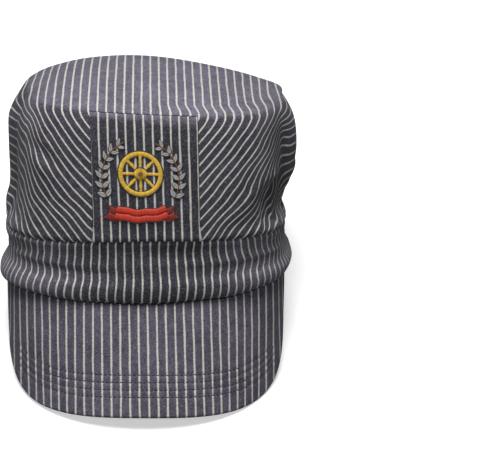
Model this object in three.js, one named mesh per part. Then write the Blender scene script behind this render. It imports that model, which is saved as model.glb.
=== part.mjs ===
// A striped denim engineer cap at rest on a table: soft crown, front panel, headband, stiff visor and a
// raised embroidered emblem. Millimetres, +Z up, the front faces -Y. The origin is at the middle of the
// cap's box, at the level of the surface that it rests on.
//
// The cap is worked out upright, in a frame whose XY plane is parallel to the hem, and is then leaned back
// by CAP_LEAN, as it rests on the corners of its visor and the back of its hem.
import * as THREE from "three";

// Driving dimensions
const CLOTH = 1.8; // wall of the crown and the front panel, cloth and seam allowances together
const BAND_CLOTH = 2.4; // the headband is folded double
const VISOR_THICKNESS = 3.2; // a stiff board between two layers of cloth
const SEAM_GAP = 0.3; // between neighbouring pieces
const CAP_LEAN = THREE.MathUtils.degToRad(20.5);
const RESTING_HEIGHT = -33.8; // level of the table in the leaned frame, a little above the lowest cloth
const CROWN_ROLL = 0.04; // the top sinks by this much for each millimetre to the right
const SEAM_HEIGHT = 38; // where crown and headband meet
const SEAM_FADE = 9; // folds die out over this much height above and below the seam
const FOLD_HEIGHT = 116; // where the front turns into the top

const PANEL = { halfWidth: 33.4, drift: -1.9, proud: 0.5 }; // drift: sideways, from its foot to its head
const VISOR = {
  radius: 118.5, // of the cylinder that its outer edge lies on
  halfArc: 103.5,
  length: 71.5,
  slope: THREE.MathUtils.degToRad(65.5),
  corner: 2.95, // the higher, the squarer its outer corners
  side: -1.3, // of its middle line
  skew: 1.2, // its left half is longer than its right half by up to this much
};
const HEM = { side: -1.2, y: -88.5, z: -4.4, halfWidth: 93, square: 3 }; // line on which the visor is sewn
const VISOR_NARROWING = 1; // width on the hem for each millimetre at the outer edge
const VISOR_END = 0.998; // share of the half arc at which its outer edge would reach the hem

const EMBLEM = { height: 77, side: -3, thread: 1.1, gap: 0.3 };
const WHEEL = { rise: 3, radius: 14, rim: 3, hub: 4, spokes: 8, spokeWidth: 2.2 };
const WREATH = { radius: 24, from: -29, to: 66, leaves: 7, stem: 1.6, leaf: 3.8 };
const RIBBON = { radius: 52, drop: -23, halfArc: 24, width: 8.4 };

// A table with named columns, one row for each section or fold
function table(columns, ...rows) {
  return rows.map((row) => Object.fromEntries(columns.map((column, i) => [column, row[i]])));
}

// Level sections of the crown, from the seam on the headband to the middle of the top
const CROWN_SECTIONS = table(
  ["height", "halfWidth", "front", "back", "square", "shift"],
  [38, 89, 88, 86, 3.5, 0],
  [44, 92.6, 90.5, 92, 3.5, 0.4],
  [60, 93, 89.5, 96.5, 3.4, 2],
  [80, 94.8, 87.5, 97, 3.3, 3.4],
  [100, 94, 85, 94, 3.1, 3.2],
  [111, 89.8, 82.5, 91, 3, 3.8],
  [116.5, 85, 79.5, 85, 2.9, 4],
  [122, 73.5, 70, 73.5, 2.8, 2.4],
  [130, 48.5, 47, 48, 2.4, -2.5],
  [135, 23, 23, 24, 2.1, -3],
);
const TOP = { side: -3, height: 136.5 }; // where the top closes

// Level sections of the headband, from the hem to the seam
const BAND_SECTIONS = table(
  ["height", "halfWidth", "front", "back", "square", "shift"],
  [-4, 93, 88.5, 90, 3, -1.2],
  [-1, 96.2, 91.5, 92, 3.1, -1.4],
  [7, 97.1, 92.5, 92.5, 3, -0.8],
  [16, 95.3, 90.5, 91.5, 3, -0.4],
  [26, 93, 89.5, 90.5, 3.2, -0.4],
  [34, 91.5, 89.5, 89, 3.4, -0.3],
  [37.7, 89, 88, 86, 3.5, 0],
);

// Folds push the wall out (+) or in (-) by depth. Azimuth is in degrees from the front, + to the wearer's
// left. climb is how far a fold rises, in mm for each degree of azimuth, and ahead and behind are its
// spreads towards the front and towards the back.
const FOLD_COLUMNS = ["azimuth", "ahead", "behind", "height", "spread", "climb", "depth"];
const CROWN_FOLDS = table(
  FOLD_COLUMNS,
  [-63, 5, 6, 72, 44, 0, -15],
  [58.5, 5, 7, 74, 42, 0, -15],
  [-50, 5, 4, 72, 44, 0, 1.5],
  [50, 5, 4, 80, 34, 0, 1.5],
  [49, 7, 6, 56, 14, 0, -4.5],
  [-74, 9, 12, 44, 8, 0, 2.5],
  [95, 22, 30, 48, 14, 0, -7],
  [95, 22, 30, 92, 20, 0, 2],
  [100, 20, 14, 123, 5.5, 0, 9],
  [-118, 6, 6, 50, 18, 0, -2.4],
  [121, 6, 6, 52, 18, 0, -2.4],
  [-146, 7, 7, 50, 20, 0, -2.2],
  [149, 7, 7, 48, 20, 0, -2.2],
  [176, 8, 8, 52, 22, 0, -1.8],
);
const BAND_FOLDS = table(
  FOLD_COLUMNS,
  [-40, 30, 26, 15, 5, -0.07, -3],
  [46, 34, 30, 17, 5, 0.04, -3],
  [12, 16, 16, 29, 6, 0, -1.6],
  [-110, 24, 24, 18, 7, 0, -1.4],
  [120, 24, 24, 16, 7, 0, -1.4],
);

// How far the hem and the seam between crown and headband lie above their level planes
const EDGE_SHIFTS = table(
  ["azimuth", "hem", "seam"],
  [-180, 0, 0],
  [-110, 0, 0],
  [-75, 2, -1],
  [-48, 3.2, -1.6],
  [-22, 1, -0.8],
  [0, 0, 0],
  [28, 2.2, 0],
  [50, 5.4, 0],
  [68, 7, 0],
  [90, 4.5, 0],
  [125, 0, 0],
  [180, 0, 0],
);
const SHIFT_REACH = 24; // height over which the cloth takes up these shifts

// Where the columns of a wall's grid lie: azimuth reached, and columns up to there, on each side
const CROWN_COLUMNS = table(["azimuth", "columns"], [48, 4], [70, 9], [180, 13]);
const PANEL_COLUMNS = 3; // on each side of the middle
const BAND_COLUMNS = 60;
const CROWN_STEP = 0.5; // rows of the crown's grid, in sections
const BAND_STEP = 0.75;

const COLORS = {
  denim: 0x4a4760,
  denimBand: 0x454358,
  denimVisor: 0x555266,
  gold: 0xd9a52c,
  grey: 0x9a9aa4,
  red: 0xb5301f,
};

function smoothStep(from, to, value) {
  const t = THREE.MathUtils.clamp((value - from) / (to - from), 0, 1);
  return t * t * (3 - 2 * t);
}

// Smooth curve through the rows of a table, at a row number with a fraction
function rowAt(rows, position) {
  const last = rows.length - 1;
  const t = THREE.MathUtils.clamp(position, 0, last);
  const i = Math.min(Math.floor(t), last - 1);
  const f = t - i;
  const [before, low, high, after] = [i - 1, i, i + 1, i + 2].map(
    (k) => rows[THREE.MathUtils.clamp(k, 0, last)],
  );
  const mixed = {};
  for (const column of Object.keys(low)) {
    const [a, b, c, d] = [before[column], low[column], high[column], after[column]];
    mixed[column] =
      b + 0.5 * f * (c - a + f * (2 * a - 5 * b + 4 * c - d + f * (3 * (b - c) + d - a)));
  }
  return mixed;
}

// Row number at which a table's height is reached
function rowAtHeight(rows, height) {
  let low = 0;
  let high = rows.length - 1;
  while (high - low > 1e-6) {
    const middle = (low + high) / 2;
    if (rowAt(rows, middle).height < height) low = middle;
    else high = middle;
  }
  return low;
}

// Radius of a superellipse whose front half and back half have their own depths
function superRadius(azimuth, section) {
  const depth = Math.cos(azimuth) > 0 ? section.front : section.back;
  const across = Math.abs(Math.sin(azimuth) / section.halfWidth) ** section.square;
  const along = Math.abs(Math.cos(azimuth) / depth) ** section.square;
  return (across + along) ** (-1 / section.square);
}

// Azimuth of the point of a section's front at a sideways distance from its own middle
function azimuthOf(side, section) {
  const share = 1 - Math.abs(side / section.halfWidth) ** section.square;
  return Math.atan2(side, section.front * share ** (1 / section.square));
}

function foldDepth(folds, azimuth, height) {
  let depth = 0;
  for (const fold of folds) {
    const degrees = THREE.MathUtils.radToDeg(azimuth) - fold.azimuth;
    const turn = THREE.MathUtils.euclideanModulo(degrees + 180, 360) - 180;
    const towardsFront = turn * Math.sign(fold.azimuth || 1) < 0;
    const across = turn / (towardsFront ? fold.ahead : fold.behind);
    const along = (height - fold.height - fold.climb * turn) / fold.spread;
    depth += fold.depth * Math.exp(-(across ** 2) - along ** 4);
  }
  return depth * smoothStep(0, SEAM_FADE, Math.abs(height - SEAM_HEIGHT));
}

// The shift of the hem or the seam at an azimuth, eased between the rows of the table
function edgeShift(edge, azimuth) {
  const degrees = THREE.MathUtils.radToDeg(azimuth);
  const turn = THREE.MathUtils.euclideanModulo(degrees + 180, 360) - 180;
  const next = Math.max(EDGE_SHIFTS.findIndex((row) => row.azimuth > turn), 1);
  const [from, to] = [EDGE_SHIFTS[next - 1], EDGE_SHIFTS[next]];
  return from[edge] + (to[edge] - from[edge]) * smoothStep(from.azimuth, to.azimuth, turn);
}

// A height moved with the hem and the seam, less and less with the distance from them
function shiftedHeight(azimuth, height) {
  const nearHem = smoothStep(HEM.z + SHIFT_REACH, HEM.z, height);
  const nearSeam = smoothStep(SHIFT_REACH, 0, Math.abs(height - SEAM_HEIGHT));
  return height + edgeShift("hem", azimuth) * nearHem + edgeShift("seam", azimuth) * nearSeam;
}

function wallPoint(sections, folds, azimuth, position) {
  const section = rowAt(sections, position);
  const radius = superRadius(azimuth, section) + foldDepth(folds, azimuth, section.height);
  const side = radius * Math.sin(azimuth);
  const height = shiftedHeight(azimuth, section.height);
  return new THREE.Vector3(side + section.shift, -radius * Math.cos(azimuth), height);
}

function crownPoint(azimuth, position) {
  const point = wallPoint(CROWN_SECTIONS, CROWN_FOLDS, azimuth, position);
  point.z -= CROWN_ROLL * point.x * smoothStep(SEAM_HEIGHT, 112, point.z);
  return point;
}

// Azimuth on the crown of a place across the front panel, from -1 at its right edge to 1 at its left one
function panelAzimuth(across, position) {
  const section = rowAt(CROWN_SECTIONS, Math.min(position, FOLD_ROW));
  const climbed = (section.height - SEAM_HEIGHT) / (FOLD_HEIGHT - SEAM_HEIGHT);
  return azimuthOf(across * PANEL.halfWidth + PANEL.drift * climbed - section.shift, section);
}

function leaned(point) {
  point.applyAxisAngle(new THREE.Vector3(1, 0, 0), -CAP_LEAN);
  point.z = Math.max(point.z, RESTING_HEIGHT);
  return point;
}

// A closed wall of cloth. point(column, row) gives its outer surface on a grid, the inner surface lies a
// thickness behind it, and rims close the wall along every edge of the cells that keep(column, row) keeps.
// A wrapped grid closes on itself sideways, and a tip closes its last row in one point.
function clothWall({ columns, rows, thickness, point, wrapped = false, tip = null, keep = () => true }) {
  const across = wrapped ? columns : columns + 1;
  const outer = [];
  for (let row = 0; row <= rows; row++) {
    for (let column = 0; column < across; column++) outer.push(point(column, row));
  }
  const index = (column, row) => row * across + (wrapped ? (column + columns) % columns : column);
  const at = (column, row) => {
    const c = wrapped ? column : THREE.MathUtils.clamp(column, 0, columns);
    return outer[index(c, THREE.MathUtils.clamp(row, 0, rows))];
  };
  const inner = outer.map((place, i) => {
    const column = i % across;
    const row = Math.floor(i / across);
    const along = at(column + 1, row).clone().sub(at(column - 1, row));
    const up = at(column, row + 1).clone().sub(at(column, row - 1));
    return place.clone().addScaledVector(along.cross(up).normalize(), -thickness);
  });
  const vertices = [...outer, ...inner];
  const innerStart = outer.length;
  const faces = [];
  const quad = (a, b, c, d) => faces.push(a, b, c, a, c, d);
  const kept = (column, row) => {
    if (row < 0 || row >= rows || (!wrapped && (column < 0 || column >= columns))) return false;
    return keep((column + columns) % columns, row);
  };
  for (let row = 0; row < rows; row++) {
    for (let column = 0; column < columns; column++) {
      if (!kept(column, row)) continue;
      const corners = [[column, row], [column + 1, row], [column + 1, row + 1], [column, row + 1]];
      const [a, b, c, d] = corners.map(([i, j]) => index(i, j));
      const [e, f, g, h] = [a, b, c, d].map((i) => i + innerStart);
      quad(a, b, c, d);
      quad(h, g, f, e);
      if (!kept(column, row - 1)) quad(b, a, e, f);
      if (!kept(column + 1, row)) quad(c, b, f, g);
      if (!kept(column, row + 1) && !(tip && row === rows - 1)) quad(d, c, g, h);
      if (!kept(column - 1, row)) quad(a, d, h, e);
    }
  }
  if (tip) {
    const outerTip = vertices.push(tip.clone()) - 1;
    const innerTip = vertices.push(tip.clone().add(new THREE.Vector3(0, 0, -thickness))) - 1;
    for (let column = 0; column < columns; column++) {
      const [a, b] = [index(column, rows), index(column + 1, rows)];
      faces.push(a, b, outerTip, b + innerStart, a + innerStart, innerTip);
    }
  }
  return solid(vertices.map(leaned), faces);
}

function solid(vertices, faces) {
  const geometry = new THREE.BufferGeometry().setFromPoints(vertices).setIndex(faces);
  geometry.computeVertexNormals();
  return geometry;
}

function piece(name, geometry, color, roughness = 0.9) {
  const material = new THREE.MeshStandardMaterial({ color, roughness, metalness: 0 });
  const mesh = new THREE.Mesh(geometry, material);
  mesh.name = name;
  return mesh;
}

const FOLD_ROW = rowAtHeight(CROWN_SECTIONS, FOLD_HEIGHT);

// Grid rows of the crown, with one on the fold where the front panel ends
function crownRows() {
  const rows = [];
  for (let row = 0; row <= CROWN_SECTIONS.length - 1 + 1e-9; row += CROWN_STEP) {
    const nearFold = Math.abs(row - FOLD_ROW) < CROWN_STEP / 2;
    rows.push(nearFold ? FOLD_ROW : row);
  }
  return rows;
}

function crown() {
  const rows = crownRows();
  const foldRow = rows.indexOf(FOLD_ROW);
  const perSide = PANEL_COLUMNS + CROWN_COLUMNS.reduce((sum, stop) => sum + stop.columns, 0);
  // Azimuth of a column counted from the middle of the front, on the side given by its sign
  const azimuth = (number, row) => {
    const side = Math.sign(number) || 1;
    const count = Math.abs(number);
    const edge = panelAzimuth(side, row);
    if (count <= PANEL_COLUMNS) return panelAzimuth(number / PANEL_COLUMNS, row);
    let from = edge;
    let done = PANEL_COLUMNS;
    for (const stop of CROWN_COLUMNS) {
      const to = side * THREE.MathUtils.degToRad(stop.azimuth);
      if (count <= done + stop.columns) return from + ((to - from) * (count - done)) / stop.columns;
      from = to;
      done += stop.columns;
    }
    return from;
  };
  const geometry = clothWall({
    columns: 2 * perSide,
    rows: rows.length - 1,
    thickness: CLOTH,
    wrapped: true,
    point: (column, row) => crownPoint(azimuth(column - perSide, rows[row]), rows[row]),
    tip: new THREE.Vector3(TOP.side, 0, TOP.height),
    keep: (column, row) => {
      const number = column - perSide;
      return row >= foldRow || number < -PANEL_COLUMNS || number >= PANEL_COLUMNS;
    },
  });
  return piece("crown", geometry, COLORS.denim);
}

// A point on the outside of the front panel, across from -1 to 1 and at a row number of the crown's table,
// lifted off the cloth
function panelPoint(across, position, lift = 0) {
  const shrink = 1 - SEAM_GAP / PANEL.halfWidth;
  const place = (a, p) => crownPoint(panelAzimuth(a * shrink, p), p);
  const step = 0.02;
  const sideways = place(across + step, position).sub(place(across - step, position));
  const upwards = place(across, position + step).sub(place(across, position - step));
  const normal = sideways.cross(upwards).normalize();
  return place(across, position).addScaledVector(normal, PANEL.proud + lift);
}

function frontPanel() {
  const columns = 4 * PANEL_COLUMNS;
  const rows = 10;
  const foot = rowAtHeight(CROWN_SECTIONS, SEAM_HEIGHT + SEAM_GAP);
  const head = rowAtHeight(CROWN_SECTIONS, FOLD_HEIGHT - 2 * SEAM_GAP);
  const geometry = clothWall({
    columns,
    rows,
    thickness: CLOTH,
    point: (column, row) => panelPoint((2 * column) / columns - 1, foot + ((head - foot) * row) / rows),
  });
  return piece("front_panel", geometry, COLORS.denim);
}

function band() {
  const last = BAND_SECTIONS.length - 1;
  const geometry = clothWall({
    columns: BAND_COLUMNS,
    rows: last / BAND_STEP,
    thickness: BAND_CLOTH,
    wrapped: true,
    point: (column, row) =>
      wallPoint(BAND_SECTIONS, BAND_FOLDS, (2 * Math.PI * column) / BAND_COLUMNS, row * BAND_STEP),
  });
  return piece("band", geometry, COLORS.denimBand);
}

// The visor is ruled from the hem to its outer edge, which lies on a cylinder that slopes down to the
// front. across runs from -1 to 1, out from 0 at the hem to 1 at the outer edge.
function visorPoint(across, out) {
  const { radius, halfArc, length, slope, corner, side, skew } = VISOR;
  const turn = (across * halfArc) / radius;
  const down = new THREE.Vector3(0, -Math.cos(slope), -Math.sin(slope));
  const facing = new THREE.Vector3(0, -Math.sin(slope), Math.cos(slope));
  const reach = length * (1 - Math.abs(VISOR_END * across) ** corner) ** (1 / corner) + skew * across;
  const edge = new THREE.Vector3(side + radius * Math.sin(turn), HEM.y, HEM.z)
    .addScaledVector(down, reach)
    .addScaledVector(facing, -radius * (1 - Math.cos(turn)));
  const sideways = VISOR_NARROWING * radius * Math.sin(turn);
  const share = Math.max(1 - Math.abs(sideways / HEM.halfWidth) ** HEM.square, 0);
  const hem = new THREE.Vector3(HEM.side + sideways, HEM.y * share ** (1 / HEM.square), HEM.z);
  hem.z += edgeShift("hem", Math.atan2(sideways, -hem.y));
  return hem.lerp(edge, out);
}

function visor() {
  const columns = 32;
  const rows = 6;
  const geometry = clothWall({
    columns,
    rows,
    thickness: VISOR_THICKNESS,
    point: (column, row) => visorPoint((2 * column) / columns - 1, 1 - row / rows),
  });
  return piece("visor", geometry, COLORS.denimVisor);
}

// A place in the emblem, in mm from its middle, on the front panel and lifted off it
function emblemPoint(side, rise, lift) {
  const position = rowAtHeight(CROWN_SECTIONS, EMBLEM.height + rise);
  return panelPoint((EMBLEM.side + side) / PANEL.halfWidth, position, EMBLEM.gap + lift);
}

// Flat outlines in the emblem's plane, raised by the thread and bent over the panel
function embroidery(shape) {
  const geometry = new THREE.ExtrudeGeometry(shape, {
    depth: EMBLEM.thread,
    steps: 1,
    bevelEnabled: false,
  });
  const places = geometry.getAttribute("position");
  for (let i = 0; i < places.count; i++) {
    const point = leaned(emblemPoint(places.getX(i), places.getY(i), places.getZ(i)));
    places.setXYZ(i, point.x, point.y, point.z);
  }
  geometry.computeVertexNormals();
  return geometry;
}

// Points of an arc round a centre, from one angle to another
function arcPoints(centre, radius, from, to, steps) {
  return Array.from({ length: steps + 1 }, (_, i) => {
    const angle = from + ((to - from) * i) / steps;
    return new THREE.Vector2(radius * Math.cos(angle), radius * Math.sin(angle)).add(centre);
  });
}

function emblemWheel() {
  const { rise, radius, rim, hub, spokes, spokeWidth } = WHEEL;
  const centre = new THREE.Vector2(0, rise);
  const turn = (2 * Math.PI) / spokes;
  const shape = new THREE.Shape(arcPoints(centre, radius, 0, 2 * Math.PI - turn / 4, 4 * spokes - 1));
  for (let spoke = 0; spoke < spokes; spoke++) {
    const [from, to] = [spoke * turn, (spoke + 1) * turn];
    const outerTrim = spokeWidth / 2 / (radius - rim);
    const innerTrim = spokeWidth / 2 / hub;
    const hole = [
      ...arcPoints(centre, radius - rim, from + outerTrim, to - outerTrim, 3),
      ...arcPoints(centre, hub, to - innerTrim, from + innerTrim, 1),
    ];
    shape.holes.push(new THREE.Path(hole));
  }
  return piece("emblem_wheel", embroidery(shape), COLORS.gold, 0.5);
}

// A spray of leaves: its outline swells and pinches with each pair of leaves along an arc
function emblemSpray(name, side) {
  const { radius, from, to, leaves, stem, leaf } = WREATH;
  const steps = 6 * leaves;
  const outline = [];
  for (const edge of [1, -1]) {
    for (let i = 0; i <= steps; i++) {
      const share = (edge > 0 ? i : steps - i) / steps;
      const swell = Math.abs(Math.sin(Math.PI * share * leaves)) * (1 - 0.35 * share);
      const reach = radius + edge * (stem / 2 + (leaf - stem / 2) * swell);
      const angle = THREE.MathUtils.degToRad(from + (to - from) * share);
      outline.push(new THREE.Vector2(side * reach * Math.cos(angle), reach * Math.sin(angle)));
    }
  }
  return piece(name, embroidery(new THREE.Shape(outline)), COLORS.grey, 0.6);
}

function emblemRibbon() {
  const { radius, drop, halfArc, width } = RIBBON;
  const columns = 16;
  const rows = 2;
  const geometry = clothWall({
    columns,
    rows,
    thickness: EMBLEM.thread,
    point: (column, row) => {
      const angle = THREE.MathUtils.degToRad(halfArc * ((2 * column) / columns - 1));
      const reach = radius + width * (0.5 - row / rows);
      return emblemPoint(reach * Math.sin(angle), drop + radius - reach * Math.cos(angle), EMBLEM.thread);
    },
  });
  return piece("emblem_ribbon", geometry, COLORS.red, 0.6);
}

const cap = new THREE.Group();
cap.add(crown(), frontPanel(), band(), visor());
cap.add(emblemWheel(), emblemRibbon());
cap.add(emblemSpray("emblem_wreath_left", -1), emblemSpray("emblem_wreath_right", 1));

const box = new THREE.Box3().setFromObject(cap, true);
const middle = box.getCenter(new THREE.Vector3());
cap.position.set(-middle.x, -middle.y, -box.min.z);

const assembly = new THREE.Group();
assembly.add(cap);
export default assembly;
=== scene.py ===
"""A striped denim engineer cap, resting on the corners of its visor and the back of its hem.

The soft crown, the front panel, the headband and the visor are cloth surfaces worked out from the same
sections and folds as the solid model, with the woven stripes laid along them. The emblem is built thread by
thread. Lengths are in millimetres until a mesh is made, which is in metres.
"""

import math

import bpy
import numpy as np
from bpy.props import FloatProperty, FloatVectorProperty, IntProperty, PointerProperty
from mathutils import Matrix, Vector


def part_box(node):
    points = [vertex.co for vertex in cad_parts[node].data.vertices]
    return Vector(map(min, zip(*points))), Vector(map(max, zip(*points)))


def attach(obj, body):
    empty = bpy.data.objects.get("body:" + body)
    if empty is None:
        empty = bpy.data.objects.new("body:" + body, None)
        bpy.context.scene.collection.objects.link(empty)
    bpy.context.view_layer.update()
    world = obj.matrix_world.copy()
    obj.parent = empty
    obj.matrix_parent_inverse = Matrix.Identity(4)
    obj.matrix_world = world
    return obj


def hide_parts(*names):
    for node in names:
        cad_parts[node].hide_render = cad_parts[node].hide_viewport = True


bl_info = {
    "name": "Engineer cap",
    "version": (1, 0, 0),
    "blender": (4, 5, 0),
    "location": "3D View > Sidebar > Engineer Cap",
    "description": "Dresses a striped denim work cap: crown, front panel, headband, visor and emblem",
    "category": "Object",
}

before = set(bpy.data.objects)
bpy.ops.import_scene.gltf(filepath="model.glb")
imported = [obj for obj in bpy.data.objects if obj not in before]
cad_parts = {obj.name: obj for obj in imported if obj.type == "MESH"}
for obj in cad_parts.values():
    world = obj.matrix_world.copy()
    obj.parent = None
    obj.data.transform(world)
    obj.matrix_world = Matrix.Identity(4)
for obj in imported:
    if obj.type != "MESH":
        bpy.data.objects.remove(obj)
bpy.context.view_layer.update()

# The cap upright, in millimetres: the hem lies parallel to the XY plane and the front faces -Y
CAP_LEAN = math.radians(20.5)
RESTING_HEIGHT = -33.8
SOFTNESS = 0.6  # how gently the cloth turns up from the surface that it rests on
PRESSED_BELOW = 12.0  # the height under which cloth can be pressed flat
CROWN_ROLL = 0.04
SEAM_HEIGHT = 38.0
SEAM_FADE = 9.0
FOLD_HEIGHT = 116.0
TOP = (-3.0, 0.0, 136.6)
PANEL_HALF = 33.4
PANEL_DRIFT = -1.9
PANEL_PROUD = 0.5
SEAM_GAP = 0.3
CROWN_FULLNESS, BAND_FULLNESS = 2.6, 1.7  # of the cloth beside the seam
SEAM_LAP = 0.3  # how far the crown hangs over the band, for each mm of its fullness
SEAM_REACH = 4.0  # of that fullness
PUCKER_PLACE, PUCKER_REACH = 3.0, 5.0  # distance of the puckers from the seam, and their reach round that
WAVE_SHARE, WAVE_HEIGHT = 0.8, 14.0  # depth of the wide waves, as a share of the puckers', and their height
PANEL_WAVE = 0.25  # depth of the front panel's waves
HEM_SIDE, HEM_Y, HEM_Z, HEM_HALF, HEM_SQUARE = -1.2, -88.5, -4.4, 93.0, 3.0
VISOR_RADIUS, VISOR_HALF_ARC, VISOR_LENGTH, VISOR_CORNER = 118.5, 103.5, 71.5, 2.95
VISOR_SIDE, VISOR_SKEW, VISOR_END = -1.3, 1.2, 0.998
VISOR_SLOPE = math.radians(65.5)
VISOR_TUCK, TUCK_FROM = 0.022, -0.65  # share by which the outer edge is tucked in on the left
VISOR_FLARE, FLARE_FROM = 1.8, 0.7  # how far the hem's right end reaches out
EMBLEM_HEIGHT, EMBLEM_SIDE, EMBLEM_GAP = 77.0, -3.0, 0.3

# The photograph's frame, and where the middle of the cap's front lies in it
FRAME_WIDTH, FRAME_HEIGHT = 500, 453
AIM_PIXEL = (147.0, 180.5)
AIM = (0.0, -88.0, 76.0)
CAMERA_ABOVE_HEM = math.radians(14.0)
METRES_PER_PIXEL = 0.00062
SENSOR_WIDTH = 36.0


def table(columns, *rows):
    """A table as one array for each named column."""
    return dict(zip(columns.split(), np.array(rows, float).T))


# Level sections from bottom to top: superellipses with their own depths to the front and the back
SECTION_COLUMNS = "height half_width front back square shift"
CROWN_SECTIONS = table(
    SECTION_COLUMNS,
    (38, 89, 88, 86, 3.5, 0),
    (44, 92.6, 90.5, 92, 3.5, 0.4),
    (60, 93, 89.5, 96.5, 3.4, 2),
    (80, 94.8, 87.5, 97, 3.3, 3.4),
    (100, 94, 85, 94, 3.1, 3.2),
    (111, 89.8, 82.5, 91, 3, 3.8),
    (116.5, 85, 79.5, 85, 2.9, 4),
    (122, 73.5, 70, 73.5, 2.8, 2.4),
    (130, 48.5, 47, 48, 2.4, -2.5),
    (135, 23, 23, 24, 2.1, -3),
    (136.5, 1, 1, 1, 2, -3),
)
BAND_SECTIONS = table(
    SECTION_COLUMNS,
    (-4, 93, 88.5, 90, 3, -1.2),
    (-1, 96.2, 91.5, 92, 3.1, -1.4),
    (7, 97.1, 92.5, 92.5, 3, -0.8),
    (16, 95.3, 90.5, 91.5, 3, -0.4),
    (26, 93, 89.5, 90.5, 3.2, -0.4),
    (34, 91.5, 89.5, 89, 3.4, -0.3),
    (37.7, 89, 88, 86, 3.5, 0),
)

# Folds push the cloth out or in by depth. Azimuth is in degrees from the front, climb in mm per degree,
# ahead and behind are the spreads towards the front and the back.
FOLD_COLUMNS = "azimuth ahead behind height spread climb depth"
CROWN_FOLDS = table(
    FOLD_COLUMNS,
    (-63, 5, 6, 72, 44, 0, -15),
    (58.5, 5, 7, 74, 42, 0, -15),
    (-50, 5, 4, 72, 44, 0, 1.5),
    (50, 5, 4, 80, 34, 0, 1.5),
    (49, 7, 6, 56, 14, 0, -4.5),
    (-74, 9, 12, 44, 8, 0, 2.5),
    (95, 22, 30, 48, 14, 0, -7),
    (95, 22, 30, 92, 20, 0, 2),
    (100, 20, 14, 123, 5.5, 0, 9),
    (-118, 6, 6, 50, 18, 0, -2.4),
    (121, 6, 6, 52, 18, 0, -2.4),
    (-146, 7, 7, 50, 20, 0, -2.2),
    (149, 7, 7, 48, 20, 0, -2.2),
    (176, 8, 8, 52, 22, 0, -1.8),
)
# In the cloth the two deep side folds are broader and softer than in the solid, and have no lips
SOFT_FOLDS = table(
    FOLD_COLUMNS,
    (-68, 19, 9, 72, 44, 0, -6.5),
    (62, 17, 10, 74, 42, 0, -9),
)
HARD_ROWS = 4  # rows of CROWN_FOLDS that SOFT_FOLDS replace
CLOTH_FOLDS = {
    name: np.concatenate([SOFT_FOLDS[name], column[HARD_ROWS:]]) for name, column in CROWN_FOLDS.items()
}
BAND_FOLDS = table(
    FOLD_COLUMNS,
    (-40, 30, 26, 15, 5, -0.07, -1.6),
    (46, 34, 30, 17, 5, 0.04, -1.6),
    (12, 16, 16, 29, 6, 0, -1.6),
    (-110, 24, 24, 18, 7, 0, -1.4),
    (120, 24, 24, 16, 7, 0, -1.4),
)
# How far the hem and the seam between band and crown lie above their level planes, by azimuth in degrees
EDGE_SHIFTS = table(
    "azimuth hem seam",
    (-180, 0, 0),
    (-110, 0, 0),
    (-75, 2, -1),
    (-48, 3.2, -1.6),
    (-22, 1, -0.8),
    (0, 0, 0),
    (28, 2.2, 0),
    (50, 5.4, 0),
    (68, 7, 0),
    (90, 4.5, 0),
    (125, 0, 0),
    (180, 0, 0),
)
SHIFT_REACH = 24.0  # distance at which the shifts have died out
# Small creases that only the cloth surfaces have
CROWN_CREASES = table(
    FOLD_COLUMNS,
    (-43, 6, 5, 88, 4.5, -0.7, -1.8),
    (-43, 7, 6, 81, 5, -0.7, 0.9),
    (53, 5, 4, 74, 4, 0.5, 1.6),
    (38, 8, 9, 62, 6, 1.4, 1),
    (44, 2, 2, 46, 8, 0, 0.9),
    (49, 2, 2, 47, 8, 0, 0.9),
    (54, 2, 2, 47, 7, 0, 0.9),
    (-28, 9, 9, 48, 7, 0, 0.5),
    (95, 24, 30, 65, 9, 0, 3),
    (95, 24, 30, 55, 6, 0, 2.4),
    (-90, 30, 26, 114, 12, 0, -3),
)
BAND_CREASES = table(
    FOLD_COLUMNS,
    (-52, 12, 12, 28, 5, 0.3, -1),
    (58, 12, 12, 28, 5, -0.2, -1.2),
    (70, 6, 6, 20, 7, 0, -1),
    (-88, 45, 60, 20, 11, 0, -2),
    (-106, 30, 30, 9, 11, 0, -4.5),
    (-92, 30, 40, 34, 7, 0, 2.2),
    (-88, 40, 60, 2, 5, 0, 1),
    (88, 40, 60, 4, 7, 0, 1.4),
)

# How far the band's stripes step aside at each height: everywhere, on the left and on the right
BAND_WARPS = table(
    "height all left right",
    (-4, -1.5, -2.5, -3.3),
    (4, -1.3, -3, -3.3),
    (10, -1.2, -3.3, -3.5),
    (19, -0.5, -2.3, 0.7),
    (27, -0.3, -4, -2.1),
    (36, 0, -6.1, -5.5),
    (38, 0, -7, -6),
)

# Where the stripes lie: cloth coordinates across them, in mm
TOP_MIDDLE, TOP_STRETCH = -3.3, 1.02  # the top's middle, and how much it is stretched
JOG, JOG_FROM, JOG_TO, JOG_REACH = 2.8, -3.0, 30.0, 12.0  # the top's stripes step aside behind the fold
CHEVRON_SLOPES = (0.79, 0.83)  # how far the slanted stripes run sideways for each mm down: left, right
CHEVRON_BENDS = (2.0, 2.5)  # how far below the fold they turn: left, right
BACK_EASE = 0.045  # stripes of the top spread by this share towards the back right
SIDE_SINK = 0.27  # the side stripes sink by this much for each mm towards the back
# How far the slanted stripes gather towards the side folds: height stands for degrees from the front
SIDE_GATHERS = table(
    "height left right",
    (30, 0, 0.5),
    (36, 1.5, 1.6),
    (39, 2.8, 1.7),
    (43, 3.8, 2.2),
    (46, 6.5, 4.2),
    (49, 10.6, 5.4),
    (52, 13.5, 8),
    (56, 12.5, 10.5),
    (60, 11.5, 15),
    (66, 11, 20),
)
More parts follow.
